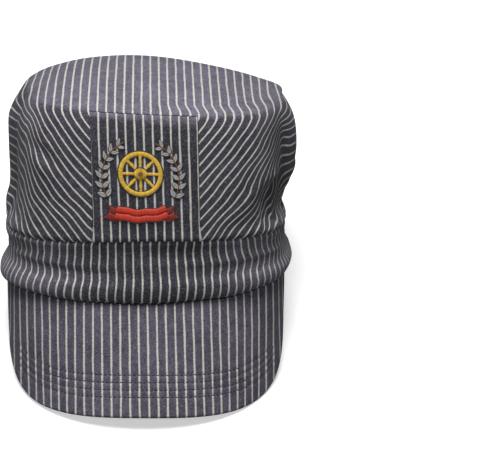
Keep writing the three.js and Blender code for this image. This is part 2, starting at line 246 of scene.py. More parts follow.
# How much of that is left at each distance below the fold, which is the height here, and how many degrees
# the right side is pinched
GATHER_SHARES = table(
    "height left right pinch",
    (0, 0, 0, 0),
    (6, 0.18, 0.18, 0),
    (11, 0.5, 0.5, 0),
    (17, 0.86, 0.86, 0),
    (24, 1, 1, 1),
    (34, 1, 1, 9),
    (44, 1, 0.92, 9),
    (54, 0.95, 0.5, 2),
    (64, 0.72, 0.28, 0),
    (80, 0.6, 0.25, 0),
)
FOOT_SHIFT = 4.0  # of the slanted stripes just above the seam
VISOR_STRETCH = (0.975, -0.03)  # of the visor's stripes, and its change from the hem to the edge
VISOR_MIDDLE = (1.3, 1.2)  # of the visor's stripes, and its change from the hem to the edge
VISOR_EASE, VISOR_EASE_FROM, VISOR_EASE_TO = 6.5, 70.0, 104.0  # its stripes open by this near its ends
BEND_SOFTNESS = 2.0  # how gently the slanted stripes turn
WALL_SLACKS = (9.0, 4.0)  # cloth that the level stripes lose within WALL_REACH of the fold: left, right
WALL_REACH = 12.0
BAND_MIDDLE = 3.3  # the cloth coordinate at the band's middle
PANEL_STRETCH, PANEL_LEAN = 1.01, 2.36  # of the panel's stripes, and how far they lean over its height

# Where each of these sets in and where it is full: TURNS in degrees from the front, DROPS in mm below the
# fold, CLIMB in mm above it and PLACES in mm towards the back
JOG_TURNS = (100, 80)
BACK_PLACES, BACK_CLIMB = (-45, 60), (0, 8)
FOOT_DROPS, FOOT_TURNS = (54, 72), (22, 32)
SLACK_TURNS = (116, 86)
SINK_PLACES, SINK_DROPS = (-60, 25), (0, 22)
LEVEL_TURNS, HANGING_TURNS = (60, 72), (172, 122)
WARP_LEFT_TURNS, WARP_RIGHT_TURNS, WARP_TURNS = (-2, -45), (12, 45), (120, 80)
SIDE_LIGHT_TURNS, SIDE_LIGHT_END_TURNS, BAND_SIDE_LIGHT_TURNS = (30, 60), (76, 64), (12, 50)

# Painted light and shade on the cloth: how far the top's dark yarn is painted lighter, towards the weft
# colour, where the overhead light falls on it, and as shares of that the painted light on the panel's upper
# edge and on the sides of the crown and the band. Painted shade is darkest where the folds are deeper than
# FOLD_SHADE.
TOP_PAINTED_LIGHT = 0.44
PANEL_EDGE_PAINTED_LIGHT, CROWN_SIDE_PAINTED_LIGHT, BAND_SIDE_PAINTED_LIGHT = 0.85, 0.5, 0.72
PANEL_LIGHT_REACH, PANEL_LIGHT_LEAN = 8.0, 3.0  # mm down from the edge, more by the lean on the right
FOLD_SHADE, FOLD_SHADE_REACH = 3.0, 4.5
DARKEST = 0.35  # how much of the cloth's colour the painted shade leaves in the deepest folds
PANEL_PAINTED_LIGHTING, BAND_PAINTED_LIGHTING, VISOR_PAINTED_LIGHTING = 0.72, 0.92, 2.2  # dark yarn as shares of the setting, painted lighter or darker for the light on each piece

NOTCH_HALF = 30  # columns of the crown from the middle of the panel's notch to its side
END_COLUMNS = 6  # columns in the rounded end of an open grid

# The visor's seam tape: half its angle, the heights of its foot and head, its thickness, its distance from
# the band's inside, and how far it draws inwards for each mm below the hem
TAPE_HALF, TAPE_FOOT, TAPE_HEAD, TAPE_WALL = math.radians(66), -9.0, 5.0, 0.8
TAPE_GAP, TAPE_DRAW = 0.9, 0.3

# Stitching: the groove that a row of stitches pulls into the visor, the stitches and the threads
GROOVE_DEPTH, GROOVE_WIDTH = 0.35, 1.1
GROOVE_ENDS = (26.0, 36.0)  # distances from the visor's ends between which the grooves set in
ROW_HALF, ROW_STEP = 70, 2  # half the length of the first row, and how much shorter the next one is
STITCH_RADIUS, STITCH_DIVE, STITCH_RISE = 0.24, -0.55, 0.4
STITCH_SHARE = 0.4  # half a stitch, as a share of the distance from one to the next
THREAD_SIDES = 6
THREAD_END = 0.55  # how thick a thread is at its ends, as a share
SATIN_RADIUS = 0.62  # of a satin thread, as a share of the distance between threads
FINE_RADIUS = 0.6  # the same on the leaves and the hub
FIRST, SECOND, OUTLINE = 0, 1, 2  # the three dyes of a thread material

# The wheel, the sprays and the ribbon, in mm from the emblem's middle
WHEEL_RISE, WHEEL_RADIUS, WHEEL_RIM, WHEEL_HUB, WHEEL_SPOKES, WHEEL_SPOKE = 3.0, 14.0, 3.0, 4.0, 8, 2.2
HUB_DOT, DOT_THREADS, DOT_LIFT = 1.7, 14, 0.75
SPRAY_RADIUS, SPRAY_FROM, SPRAY_TO, SPRAY_LEAVES = 24.0, math.radians(-29), math.radians(66), 7
SPRAY_LEAF, SPRAY_LEAF_WIDTH = 4.5, 1.5
RIBBON_RADIUS, RIBBON_DROP, RIBBON_HALF, RIBBON_WIDTH = 52.0, -23.0, math.radians(24), 8.4
RIBBON_FOLD, RIBBON_TAIL_DROP, RIBBON_LIFT = 0.74 * RIBBON_HALF, -1.9, 0.35
RIBBON_WAVE, RIBBON_WAVES = 0.35, 26
RIBBON_NOTCH = 0.28  # of the tail's length
EDGE_THREAD = 0.26  # radius of the dark thread round the ribbon

# Details of the weave, in mm
NOTCH_PITCH, NOTCH_DEPTH = 1.05, 0.42  # of the steps in a line's edges
LINE_BLUR = 0.14  # half the width over which a line's edge fades
WEAVE_PITCH = 0.9  # of the twill's ridges
PLY_PITCH = 0.6  # one turn of a thread's plies

OUTLINE_DYE = (0.008, 0.008, 0.01)
STITCH_DYE = (0.02, 0.02, 0.035)
TAIL_SHADE = 0.45  # colour of the ribbon's tails, as a share of its red

# The stage: places and sizes in metres
FLOOR_HALF = 6.0
KEY_PLACE, KEY_AIM, KEY_SIZE = (-0.1, 0.0, 1.6), (0, 0, 0.1), 0.9
FILL_PLACE, FILL_AIM, FILL_SIZE = (0.05, -1.6, 0.9), (0, 0, 0.08), 1.0


def smooth_step(low, high, value):
    """0 at low, 1 at high, 3t^2 - 2t^3 in between."""
    t = np.clip((value - low) / (high - low), 0, 1)
    return t * t * (3 - 2 * t)


def row_at(sections, position):
    """The sections' columns at a fractional row number: a Catmull-Rom curve through the rows."""
    last = len(sections["height"]) - 1
    t = np.clip(position, 0, last)
    i = np.minimum(np.floor(t).astype(int), last - 1)
    f = t - i
    mixed = {}
    for name, column in sections.items():
        a, b, c, d = (column[np.clip(i + k, 0, last)] for k in (-1, 0, 1, 2))
        mixed[name] = b + 0.5 * f * (c - a + f * (2 * a - 5 * b + 4 * c - d + f * (3 * (b - c) + d - a)))
    return mixed


def position_at(sections, height):
    """The fractional row number at which a height is reached, read off a fine ladder of row numbers."""
    ladder = np.linspace(0, len(sections["height"]) - 1, 4001)
    return np.interp(height, row_at(sections, ladder)["height"], ladder)


def at_height(sections, height):
    """The sections' columns at a height."""
    return row_at(sections, position_at(sections, height))


FOLD_POSITION = float(position_at(CROWN_SECTIONS, FOLD_HEIGHT))


def super_radius(azimuth, section):
    """Radius of a superellipse: (|sin/a|^n + |cos/b|^n)^(-1/n), b being the front's or the back's depth."""
    depth = np.where(np.cos(azimuth) > 0, section["front"], section["back"])
    n = section["square"]
    across = np.abs(np.sin(azimuth) / section["half_width"]) ** n
    along = np.abs(np.cos(azimuth) / depth) ** n
    return (across + along) ** (-1 / n)


def side_azimuth(side, section):
    """Azimuth of a point of a section's front at a sideways distance from its middle."""
    n = section["square"]
    share = np.clip(1 - np.abs(side / section["half_width"]) ** n, 1e-6, 1)
    return np.arctan2(side, section["front"] * share ** (1 / n))


def fold_depth(folds, azimuth, height):
    """Sum over the folds of depth * exp(-across^2 - along^4), across and along being distances from the
    fold's middle in spreads. Folds die out at the seam between crown and band."""
    depth = 0 * (azimuth + height)
    for centre, ahead, behind, middle, spread, climb, deep in zip(*folds.values()):
        turn = (np.degrees(azimuth) - centre + 180) % 360 - 180
        front = turn * (np.sign(centre) or 1) < 0
        across = turn / np.where(front, ahead, behind)
        along = (height - middle - climb * turn) / spread
        depth = depth + deep * np.exp(-(across**2) - along**4)
    return depth * smooth_step(0, SEAM_FADE, np.abs(height - SEAM_HEIGHT))


def edge_shift(edge, azimuth):
    """The hem's or the seam's shift at an azimuth, eased between the rows of the table."""
    turned = (np.degrees(azimuth) + 180) % 360 - 180
    nodes, values = EDGE_SHIFTS["azimuth"], EDGE_SHIFTS[edge]
    i = np.clip(np.searchsorted(nodes, turned, side="right") - 1, 0, len(nodes) - 2)
    share = smooth_step(nodes[i], nodes[i + 1], turned)
    return values[i] + (values[i + 1] - values[i]) * share


def shifted(azimuth, height):
    """Heights moved with the hem and the seam, less and less with the distance from them."""
    near_hem = smooth_step(HEM_Z + SHIFT_REACH, HEM_Z, height)
    near_seam = smooth_step(SHIFT_REACH, 0, np.abs(height - SEAM_HEIGHT))
    return height + edge_shift("hem", azimuth) * near_hem + edge_shift("seam", azimuth) * near_seam


def ripple(azimuth, counts, seed):
    """A wavy line round the cap: the mean of sines with those numbers of waves and seeded phases."""
    phases = np.random.default_rng(seed).uniform(0, 2 * np.pi, len(counts))
    return sum(np.sin(count * azimuth + phase) for count, phase in zip(counts, phases)) / len(counts)


def wall_point(sections, folds, azimuth, position, pucker=0.0, full=0.0):
    """Points at an azimuth and a fractional row number: the section's radius, the folds, puckers of a given
    depth that fade out within a few mm of the seam between crown and band, and a fullness beside that seam
    that keeps it a narrow crease."""
    section = row_at(sections, position)
    height = section["height"]
    radius = super_radius(azimuth, section)
    for group in folds:
        radius = radius + fold_depth(group, azimuth, height)
    away = height - SEAM_HEIGHT
    radius = radius + full * np.exp(-((away / SEAM_REACH) ** 2))
    near = np.exp(-(((np.abs(away) - PUCKER_PLACE) / PUCKER_REACH) ** 2))
    radius = radius + pucker * near * ripple(azimuth, (43, 58, 71, 97), 3)
    waves = ripple(azimuth, (7, 11, 16), 5) * ripple(height / WAVE_HEIGHT, (1, 1.7), 6)
    radius = radius + pucker * WAVE_SHARE * waves
    side = radius * np.sin(azimuth) + section["shift"]
    return np.stack([side, -radius * np.cos(azimuth), shifted(azimuth, height)], -1)


def crown_point(azimuth, position, folds=(CLOTH_FOLDS,), pucker=0.0, full=CROWN_FULLNESS):
    """The crown's outside. The top sinks a little towards the right."""
    points = wall_point(CROWN_SECTIONS, folds, azimuth, position, pucker, full)
    points[..., 2] -= CROWN_ROLL * points[..., 0] * smooth_step(SEAM_HEIGHT, 112, points[..., 2])
    above = row_at(CROWN_SECTIONS, position)["height"] - SEAM_HEIGHT
    points[..., 2] -= SEAM_LAP * full * np.exp(-((above / SEAM_REACH) ** 2))
    return points


def panel_azimuth(across, position):
    """Azimuth on the crown of a place across the front panel, from -1 to 1."""
    section = row_at(CROWN_SECTIONS, np.minimum(position, FOLD_POSITION))
    climbed = (section["height"] - SEAM_HEIGHT) / (FOLD_HEIGHT - SEAM_HEIGHT)
    return side_azimuth(across * PANEL_HALF + PANEL_DRIFT * climbed - section["shift"], section)


def panel_point(across, position, lift):
    """The front panel's outside, lifted off the crown's surface along its normal."""
    shrink = 1 - SEAM_GAP / PANEL_HALF

    def place(a, p):
        return crown_point(panel_azimuth(a * shrink, p), p)

    step = 0.02
    sideways = place(across + step, position) - place(across - step, position)
    upwards = place(across, position + step) - place(across, position - step)
    normal = unit(np.cross(sideways, upwards))
    return place(across, position) + normal * (PANEL_PROUD + np.asarray(lift)[..., None])


def emblem_point(flat):
    """A place in the emblem, given as mm to the side, mm up and mm off the cloth."""
    position = position_at(CROWN_SECTIONS, EMBLEM_HEIGHT + flat[..., 1])
    across = (EMBLEM_SIDE + flat[..., 0]) / PANEL_HALF
    return panel_point(across, position, EMBLEM_GAP + flat[..., 2])


def visor_point(across, out):
    """The visor's top side: straight lines from the hem to an outer edge on a cylinder that slopes down."""
    turn = across * VISOR_HALF_ARC / VISOR_RADIUS
    down = np.array([0, -math.cos(VISOR_SLOPE), -math.sin(VISOR_SLOPE)])
    facing = np.array([0, -math.sin(VISOR_SLOPE), math.cos(VISOR_SLOPE)])
    share = 1 - np.abs(VISOR_END * across) ** VISOR_CORNER
    reach = VISOR_LENGTH * np.clip(share, 0, 1) ** (1 / VISOR_CORNER) + VISOR_SKEW * across
    side = VISOR_RADIUS * np.sin(turn)
    sag = VISOR_RADIUS * (1 - np.cos(turn))
    edge = np.array([VISOR_SIDE, HEM_Y, HEM_Z]) + reach[..., None] * down - sag[..., None] * facing
    edge[..., 0] += side * (1 - VISOR_TUCK * smooth_step(TUCK_FROM, -1, across))
    bent = np.clip(1 - np.abs(side / HEM_HALF) ** HEM_SQUARE, 0, 1) ** (1 / HEM_SQUARE)
    rise = edge_shift("hem", np.arctan2(side, -HEM_Y * bent))
    hem = np.stack([HEM_SIDE + side, HEM_Y * bent, HEM_Z + rise], -1)
    hem[..., 0] += VISOR_FLARE * smooth_step(FLARE_FROM, 1, across)
    return hem + (edge - hem) * out[..., None]


def lean(points):
    """Leans the cap back about the X axis."""
    x, y, z = np.moveaxis(points, -1, 0)
    c, s = math.cos(CAP_LEAN), math.sin(CAP_LEAN)
    return np.stack([x, y * c + z * s, -y * s + z * c], -1)


def frame_offset():
    """From the leaned frame to the row frame: the same crown has the same box in both."""
    azimuth = np.radians(np.linspace(-180, 180, 361))[None, :]
    position = np.linspace(0, 9, 91)[:, None]
    points = lean(crown_point(azimuth, position, (CROWN_FOLDS,), full=0.0)).reshape(-1, 3)
    low, high = (np.array(corner) * 1000 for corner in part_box("crown"))
    middle = (low + high) / 2 - (points.min(0) + points.max(0)) / 2
    return np.array([middle[0], middle[1], -RESTING_HEIGHT])


FRAME_OFFSET = frame_offset()


def placed(points):
    """The cap's points in the row frame, in metres. Cloth that would lie under the surface the cap rests on
    is pressed flat: z becomes (z + sqrt(z^2 + 4h^2)) / 2 with a small h."""
    moved = lean(points) + FRAME_OFFSET
    z = moved[..., 2]
    pressed = (z + np.sqrt(z * z + 4 * SOFTNESS**2)) / 2 - 0.1
    moved[..., 2] = np.where(z < PRESSED_BELOW, np.minimum(pressed, np.maximum(z, 0) + 0.6), z)
    return moved / 1000


def unit(vectors):
    """The vectors at length 1."""
    return vectors / np.maximum(np.linalg.norm(vectors, axis=-1, keepdims=True), 1e-9)


def grid_normals(points, wrapped=False):
    """Normals of a grid from the cross product of its differences along columns and rows. The columns in the
    rounded ends of an open grid take the normals beside them, as rows and columns can be one line there."""
    if wrapped:
        along = np.roll(points, -1, 1) - np.roll(points, 1, 1)
        return unit(np.cross(along, np.gradient(points, axis=0)))
    normals = unit(np.cross(np.gradient(points, axis=1), np.gradient(points, axis=0)))
    if points.shape[1] > 4 * END_COLUMNS:
        normals[:, :END_COLUMNS] = normals[:, [END_COLUMNS]]
        normals[:, -END_COLUMNS:] = normals[:, [-END_COLUMNS - 1]]
    return normals


def travelled(points, axis):
    """Distance travelled along one axis of a grid, 0 on its first line."""
    lengths = np.cumsum(np.linalg.norm(np.diff(points, axis=axis), axis=-1), axis)
    pad = [(0, 0), (0, 0)]
    pad[axis] = (1, 0)
    return np.pad(lengths, pad)


def edge_distance(up, level):
    """Distance of an open grid's points from the nearest of its four edges, and of its two ends."""
    ends = np.minimum(level, level[:, [-1]] - level)
    return np.minimum(np.minimum(up, up[-1] - up), ends), ends


def graded(start, stop, count, power=1.8):
    """Values from start to stop whose steps grow from nearly nothing, as t^power does."""
    return start + (stop - start) * np.linspace(0, 1, count) ** power


def graded_ends(start, stop, near, middle, reach):
    """Values from start to stop with short steps at both ends: near of them within reach of each end."""
    first = graded(start, start + reach, near)
    even = np.linspace(start + reach, stop - reach, middle)
    last = stop - graded(0, reach, near)[::-1]
    return np.concatenate([first[:-1], even, last[1:]])


def make_mesh_object(name, vertices, face_groups, corner_uv, point_values=()):
    """A smooth mesh object from vertices in metres, arrays of faces with like numbers of corners, a UV pair
    for each face corner, and named values for each vertex."""
    mesh = bpy.data.meshes.new(name)
    mesh.from_pydata(vertices.tolist(), [], [face for group in face_groups for face in group.tolist()])
    mesh.uv_layers.new(name="cloth").data.foreach_set("uv", corner_uv.astype(np.float32).ravel())
    for label, values in point_values:
        attribute = mesh.attributes.new(label, "FLOAT", "POINT")
        attribute.data.foreach_set("value", values.astype(np.float32))
    mesh.polygons.foreach_set("use_smooth", [True] * len(mesh.polygons))
    mesh.update()
    made = bpy.data.objects.new(name, mesh)
    bpy.context.scene.collection.objects.link(made)
    return made


def cloth_object(name, outer, thickness, edge, uv, painted_shading, keep=None, wrapped=False, tip=None):
    """A closed cloth wall from a grid of points on its outside. The inside lies a thickness behind it, and
    where the distance to an edge is below half of that both sides close on the middle of the wall along half
    a circle. The last column of a wrapped grid is its first one again. keep says which cells are there,
    tone, the painted shading, how much painted shade (down to -1, in a deep fold) or painted light (up to 1)
    the outside carries, and tip closes the last row."""
    if wrapped:
        outer, edge, painted_shading = outer[:, :-1], edge[:, :-1], painted_shading[:, :-1]
    rows, columns = outer.shape[:2]
    half = thickness / 2
    offset = grid_normals(outer, wrapped) * half
    share = np.sqrt(1 - (1 - np.clip(edge / half, 0, 1)) ** 2)[..., None]
    layers = [(outer - offset * (1 - share)).reshape(-1, 3), (outer - offset * (1 + share)).reshape(-1, 3)]
    front = np.arange(rows * columns).reshape(rows, columns)
    back = np.where(edge < 1e-6, front, front + rows * columns)
    cells = columns if wrapped else columns - 1
    i, j = np.meshgrid(np.arange(rows - 1), np.arange(cells), indexing="ij")
    if keep is not None:
        kept = keep(i, j)
        i, j = i[kept], j[kept]
    i = np.stack([i, i, i + 1, i + 1], -1).reshape(-1, 4)
    j = np.stack([j, j + 1, j + 1, j], -1).reshape(-1, 4)
    groups = [np.concatenate([front[i, j % columns], back[i, j % columns][:, ::-1]])]
    corner_uv = [uv[i, j].reshape(-1, 2), uv[i, j][:, ::-1].reshape(-1, 2)]
    if tip is not None:
        layers.append(np.array([tip, np.subtract(tip, (0, 0, thickness))]))
        end = 2 * rows * columns
        first = np.arange(columns)
        second = (first + 1) % columns
        over = np.stack([front[-1, first], front[-1, second], np.full(columns, end)], -1)
        under = np.stack([back[-1, second], back[-1, first], np.full(columns, end + 1)], -1)
        groups.append(np.concatenate([over, under]))
        fan = np.stack([uv[-1, :-1], uv[-1, 1:], np.tile(uv[-1].mean(0), (columns, 1))], 1)
        corner_uv += [fan.reshape(-1, 2), fan[:, [1, 0, 2]].reshape(-1, 2)]
    used = np.unique(np.concatenate([group.ravel() for group in groups]))
    groups = [np.searchsorted(used, group) for group in groups]
    points = placed(np.concatenate(layers))
    painted_shadings = np.zeros(len(points))
    painted_shadings[: rows * columns] = painted_shading.ravel()
    return make_mesh_object(name, points[used], groups, np.concatenate(corner_uv), [("painted_shading", painted_shadings[used])])


def thread_object(name, strands, place):
    """Threads as closed tubes. Each strand group is an array of paths in flat mm coordinates (to the side,
    up, off the cloth), a radius and a dye, and place bends flat coordinates onto the cap. A ring of the tube
    is its centre + r cos(t) across + r sin(t) off the cloth."""
    vertices, quads, caps, corner_uv, cap_uv, dyes, shades = [], [], [], [], [], [], []
    start = 0
    sides = THREAD_SIDES
    shade_source = np.random.default_rng(11)
    for paths, radius, dye in strands:
        count, steps = paths.shape[:2]
        along = unit(np.gradient(paths, axis=1))
        across = unit(np.cross(along, np.array([0.0, 0.0, 1.0])))
        above = np.cross(across, along)
        angles = 2 * np.pi * np.arange(sides) / sides
        ring = np.cos(angles)[:, None] * across[:, :, None] + np.sin(angles)[:, None] * above[:, :, None]
        taper = np.ones(steps)
        taper[[0, -1]] = THREAD_END
        points = paths[:, :, None] + radius * taper[:, None, None] * ring
        index = start + np.arange(count * steps * sides).reshape(count, steps, sides)
        around = np.roll(index, -1, 2)
        quad = np.stack([index[:, :-1], index[:, 1:], around[:, 1:], around[:, :-1]], -1)
        quads.append(quad.reshape(-1, 4))
        length = np.pad(np.cumsum(np.linalg.norm(np.diff(paths, axis=1), axis=-1), 1), ((0, 0), (1, 0)))
        far = np.broadcast_to(length[:, :, None], index.shape)
        turn = np.broadcast_to(np.arange(sides) / sides, index.shape)[:, 1:]
        along_uv = np.stack([far[:, :-1], far[:, 1:], far[:, 1:], far[:, :-1]], -1)
        turn_uv = np.stack([turn, turn, turn + 1 / sides, turn + 1 / sides], -1)
        corner_uv.append(np.stack([along_uv, turn_uv], -1).reshape(-1, 2))
        caps += [index[:, 0].reshape(-1, sides), index[:, -1, ::-1].reshape(-1, sides)]
        cap_uv += [np.zeros((count * sides, 2)), np.zeros((count * sides, 2))]
        vertices.append(points.reshape(-1, 3))
        dyes.append(np.full(count * steps * sides, float(dye)))
        shades.append(np.repeat(shade_source.uniform(0, 1, count), steps * sides))
        start += count * steps * sides
    return make_mesh_object(
        name,
        placed(place(np.concatenate(vertices))),
        [np.concatenate(quads), np.concatenate(caps)],
        np.concatenate(corner_uv + cap_uv),
        (("dye", np.concatenate(dyes)), ("shade", np.concatenate(shades))),
    )


class Wiring:
    """Adds nodes to a tree, with their inputs linked or set, in one call each."""

    def __init__(self, tree):
        self.tree = tree
        tree.nodes.clear()

    def add(self, kind, inputs, **settings):
        """A node of a kind. A group gets its node_tree before its inputs are set."""
        node = self.tree.nodes.new(kind)
        for key, value in settings.items():
            setattr(node, key, value)
        for key, value in inputs.items():
            if isinstance(value, bpy.types.NodeSocket):
                self.tree.links.new(value, node.inputs[key])
            else:
                node.inputs[key].default_value = value
        return node

    def math(self, operation, *values):
        return self.add("ShaderNodeMath", dict(enumerate(values)), operation=operation).outputs[0]

    def vector(self, x, y, z=0.0):
        return self.add("ShaderNodeCombineXYZ", {0: x, 1: y, 2: z}).outputs[0]

    def noise(self, vector, scale, detail=2.0):
        inputs = {"Vector": vector, "Scale": scale, "Detail": detail}
        return self.add("ShaderNodeTexNoise", inputs).outputs[0]

    def random(self, vector):
        return self.add("ShaderNodeTexWhiteNoise", {"Vector": vector}).outputs[0]

    def spread(self, value, low, high, to_low=0.0, to_high=1.0, smooth=True):
        """Maps low..high to to_low..to_high, and holds beyond."""
        inputs = {0: value, 1: low, 2: high, 3: to_low, 4: to_high}
        interpolation = "SMOOTHSTEP" if smooth else "LINEAR"
        return self.add("ShaderNodeMapRange", inputs, interpolation_type=interpolation).outputs[0]

    def mix(self, factor, first, second, blend="MIX"):
        inputs = {0: factor, 6: first, 7: second}
        settings = {"data_type": "RGBA", "blend_type": blend, "clamp_factor": True}
        return self.add("ShaderNodeMix", inputs, **settings).outputs[2]

    def shaded(self, color, value):
        """A colour times a grey."""
        return self.mix(1.0, color, self.vector(value, value, value), "MULTIPLY")


def node_group(name, inputs, outputs):
    """An empty shader node group with named sockets, and its wiring with the group's input node."""
    tree = bpy.data.node_groups.new(name, "ShaderNodeTree")
    for direction, sockets in (("INPUT", inputs), ("OUTPUT", outputs)):
        for label, kind in sockets:
            tree.interface.new_socket(label, in_out=direction, socket_type="NodeSocket" + kind)
    wiring = Wiring(tree)
    return tree, wiring, wiring.add("NodeGroupInput", {}).outputs


def striped_twill_group():
    """Woven stripes: a light line every pitch, with yarn-sized steps in its edges, on dark twill with pale
    weft flecks. Cloth coordinates are in mm, across the stripes and along them. Tone, the painted shading,
    paints shade on the cloth below 0 and paints light on it above 0, by mixing the dark yarn towards the
    weft colour."""
    inputs = [("Cloth", "Vector")]
    inputs += [(label, "Float") for label in ("Pitch", "Line", "Yarn", "Mottle", "Painted shading")]
    inputs += [(label, "Color") for label in ("Dark", "Light", "Weft")]
    tree, w, given = node_group("striped twill", inputs, [("Color", "Color"), ("Height", "Float")])
    split = w.add("ShaderNodeSeparateXYZ", {0: given["Cloth"]}).outputs
    u, v = split[0], split[1]
    yarn_u = w.math("FLOOR", w.math("DIVIDE", u, given["Yarn"]))
    yarn_v = w.math("FLOOR", w.math("DIVIDE", v, given["Yarn"]))
    slow = w.vector(w.math("MULTIPLY", u, 0.16), w.math("MULTIPLY", v, 0.05))
    wander = w.math("MULTIPLY", w.math("SUBTRACT", w.noise(slow, 1.0), 0.5), 0.9)
    notch = w.math("FRACT", w.math("DIVIDE", v, NOTCH_PITCH))
    notch = w.math("MULTIPLY", w.math("SUBTRACT", notch, 0.5), NOTCH_DEPTH)
    stripe = w.math("DIVIDE", w.math("ADD", w.math("ADD", u, wander), notch), given["Pitch"])
    nearest = w.math("ROUND", stripe)
    distance = w.math("ABSOLUTE", w.math("SUBTRACT", stripe, nearest))
    distance = w.math("MULTIPLY", distance, given["Pitch"])
    stagger = w.math("SUBTRACT", w.random(w.vector(nearest, yarn_v, 3.0)), 0.5)
    distance = w.math("ADD", distance, w.math("MULTIPLY", stagger, 0.22))
    half = w.math("MULTIPLY", given["Line"], 0.5)
    line = w.spread(w.math("SUBTRACT", half, distance), -LINE_BLUR, LINE_BLUR)
    cloth = w.vector(u, v)
    fleck = w.spread(w.random(w.vector(yarn_u, yarn_v)), 0.55, 1.0)
    diagonal = w.math("FRACT", w.math("DIVIDE", w.math("ADD", yarn_u, yarn_v), 3.0))
    float_yarn = w.math("LESS_THAN", diagonal, 0.3)
    fine = w.noise(cloth, 0.85, 1.0)
    middle = w.noise(cloth, 0.22, 2.0)
    wide = w.noise(cloth, 0.035, 2.0)
    mottle = w.spread(fine, 0.25, 0.75, -1, 1, False)
    mottle = w.math("ADD", mottle, w.spread(middle, 0.3, 0.7, -0.6, 0.6, False))
    mottle = w.math("ADD", mottle, w.spread(wide, 0.3, 0.7, -0.4, 0.4, False))
    shade = w.math("ADD", 1.0, w.math("MULTIPLY", mottle, given["Mottle"]))
    weft = w.math("MULTIPLY", fleck, w.math("ADD", 0.16, w.math("MULTIPLY", float_yarn, 0.2)))
    dark = w.mix(weft, given["Dark"], given["Weft"])
    # painted light: the dark yarn is mixed towards the weft colour where the shading is above 0
    painted_light = w.spread(given["Painted shading"], 0.0, 1.0, 0.0, TOP_PAINTED_LIGHT)
    dark = w.mix(painted_light, dark, given["Weft"])
    dark = w.shaded(dark, shade)
    pale = w.math("ADD", 0.94, w.math("MULTIPLY", w.spread(fine, 0.3, 0.7, -1, 1, False), 0.1))
    light = w.shaded(given["Light"], pale)
    # painted shade: the colour is darkened where the shading is below 0
    kept = w.spread(given["Painted shading"], -1.0, 0.0, DARKEST, 1.0)
    color = w.shaded(w.mix(line, dark, light), kept)
    weave = w.math("SINE", w.math("MULTIPLY", w.math("ADD", u, v), 2 * math.pi / WEAVE_PITCH))
    height = w.math("ADD", w.math("MULTIPLY", weave, 0.25), w.math("MULTIPLY", line, 0.35))
    height = w.math("ADD", height, w.math("MULTIPLY", fine, 0.5))
    w.add("NodeGroupOutput", {"Color": color, "Height": height})
    return tree


def thread_group():
    """Embroidery thread: its dye, small differences from one thread to the next, and the twist of its plies
    as a height. Twist coordinates are mm along the thread and turns round it."""
    inputs = [("Twist", "Vector"), ("Dye", "Float"), ("Shade", "Float")]
    inputs += [(label, "Color") for label in ("First", "Second", "Outline")]
    tree, w, given = node_group("twisted thread", inputs, [("Color", "Color"), ("Height", "Float")])
    color = w.mix(w.spread(given["Dye"], 0.4, 0.6), given["First"], given["Second"])
    color = w.mix(w.spread(given["Dye"], 1.4, 1.6), color, given["Outline"])
    color = w.shaded(color, w.math("ADD", 0.78, w.math("MULTIPLY", given["Shade"], 0.4)))
    split = w.add("ShaderNodeSeparateXYZ", {0: given["Twist"]}).outputs
    turns = w.math("ADD", w.math("DIVIDE", split[0], PLY_PITCH), w.math("MULTIPLY", split[1], 2.0))
    height = w.math("SINE", w.math("MULTIPLY", turns, 2 * math.pi))
    w.add("NodeGroupOutput", {"Color": color, "Height": height})
    return tree


def shared_group(name, build):
    """A node group that is built the first time it is asked for."""
    return bpy.data.node_groups.get(name) or build()


def finished(material, wiring, group, finish, bump):
    """Ends a material: the group's colour and bumped height on a Principled shader with this finish."""
    normal = wiring.add("ShaderNodeBump", {"Height": group["Height"], **bump}).outputs[0]
    inputs = {"Base Color": group["Color"], "Normal": normal, **finish}
    shader = wiring.add("ShaderNodeBsdfPrincipled", inputs).outputs[0]
    wiring.add("ShaderNodeOutputMaterial", {"Surface": shader})
    return material


def new_material(name):
    """An empty material and its wiring."""
    material = bpy.data.materials.new(name)
    material.use_nodes = True
    return material, Wiring(material.node_tree)


def cloth_material(name, settings, painted_lighting=1.0):
    """Striped denim on the cloth coordinates of a piece, its dark yarn painted lighter or darker for the
    light that falls on that piece.
    """
    material, w = new_material(name)
    inputs = {
        "Cloth": w.add("ShaderNodeUVMap", {}, uv_map="cloth").outputs[0],
        "Painted shading": w.add("ShaderNodeAttribute", {}, attribute_name="painted_shading").outputs["Fac"],
        "Pitch": settings.pitch,
        "Line": settings.line,
        "Yarn": settings.yarn,
        # painted light and shade: the dark yarn scaled for this piece
        "Dark": [c * painted_lighting for c in settings.dark] + [1],
        "Light": [*settings.light, 1],
        "Weft": [*settings.weft, 1],
        "Mottle": settings.mottle,
    }
    tree = shared_group("striped twill", striped_twill_group)
    group = w.add("ShaderNodeGroup", inputs, node_tree=tree)
    finish = {"Roughness": 0.72, "Sheen Weight": settings.sheen, "Sheen Roughness": 0.5}
    finish["Sheen Tint"] = (0.9, 0.88, 1.0, 1)
    finish["Specular IOR Level"] = 0.35
    return finished(material, w, group.outputs, finish, {"Strength": 0.5, "Distance": 0.0002})


def thread_material(name, first, second, outline, roughness=0.42):
    """Rayon thread in up to three dyes."""
    material, w = new_material(name)
    inputs = {"Twist": w.add("ShaderNodeUVMap", {}, uv_map="cloth").outputs[0]}
    for label in ("Dye", "Shade"):
        source = w.add("ShaderNodeAttribute", {}, attribute_name=label.lower())
        inputs[label] = source.outputs["Fac"]
    for label, color in (("First", first), ("Second", second), ("Outline", outline)):
        inputs[label] = [*color, 1]
    tree = shared_group("twisted thread", thread_group)
    group = w.add("ShaderNodeGroup", inputs, node_tree=tree)
    finish = {"Roughness": roughness, "Sheen Weight": 0.15, "Specular IOR Level": 0.5}
    return finished(material, w, group.outputs, finish, {"Strength": 0.4, "Distance": 0.00008})


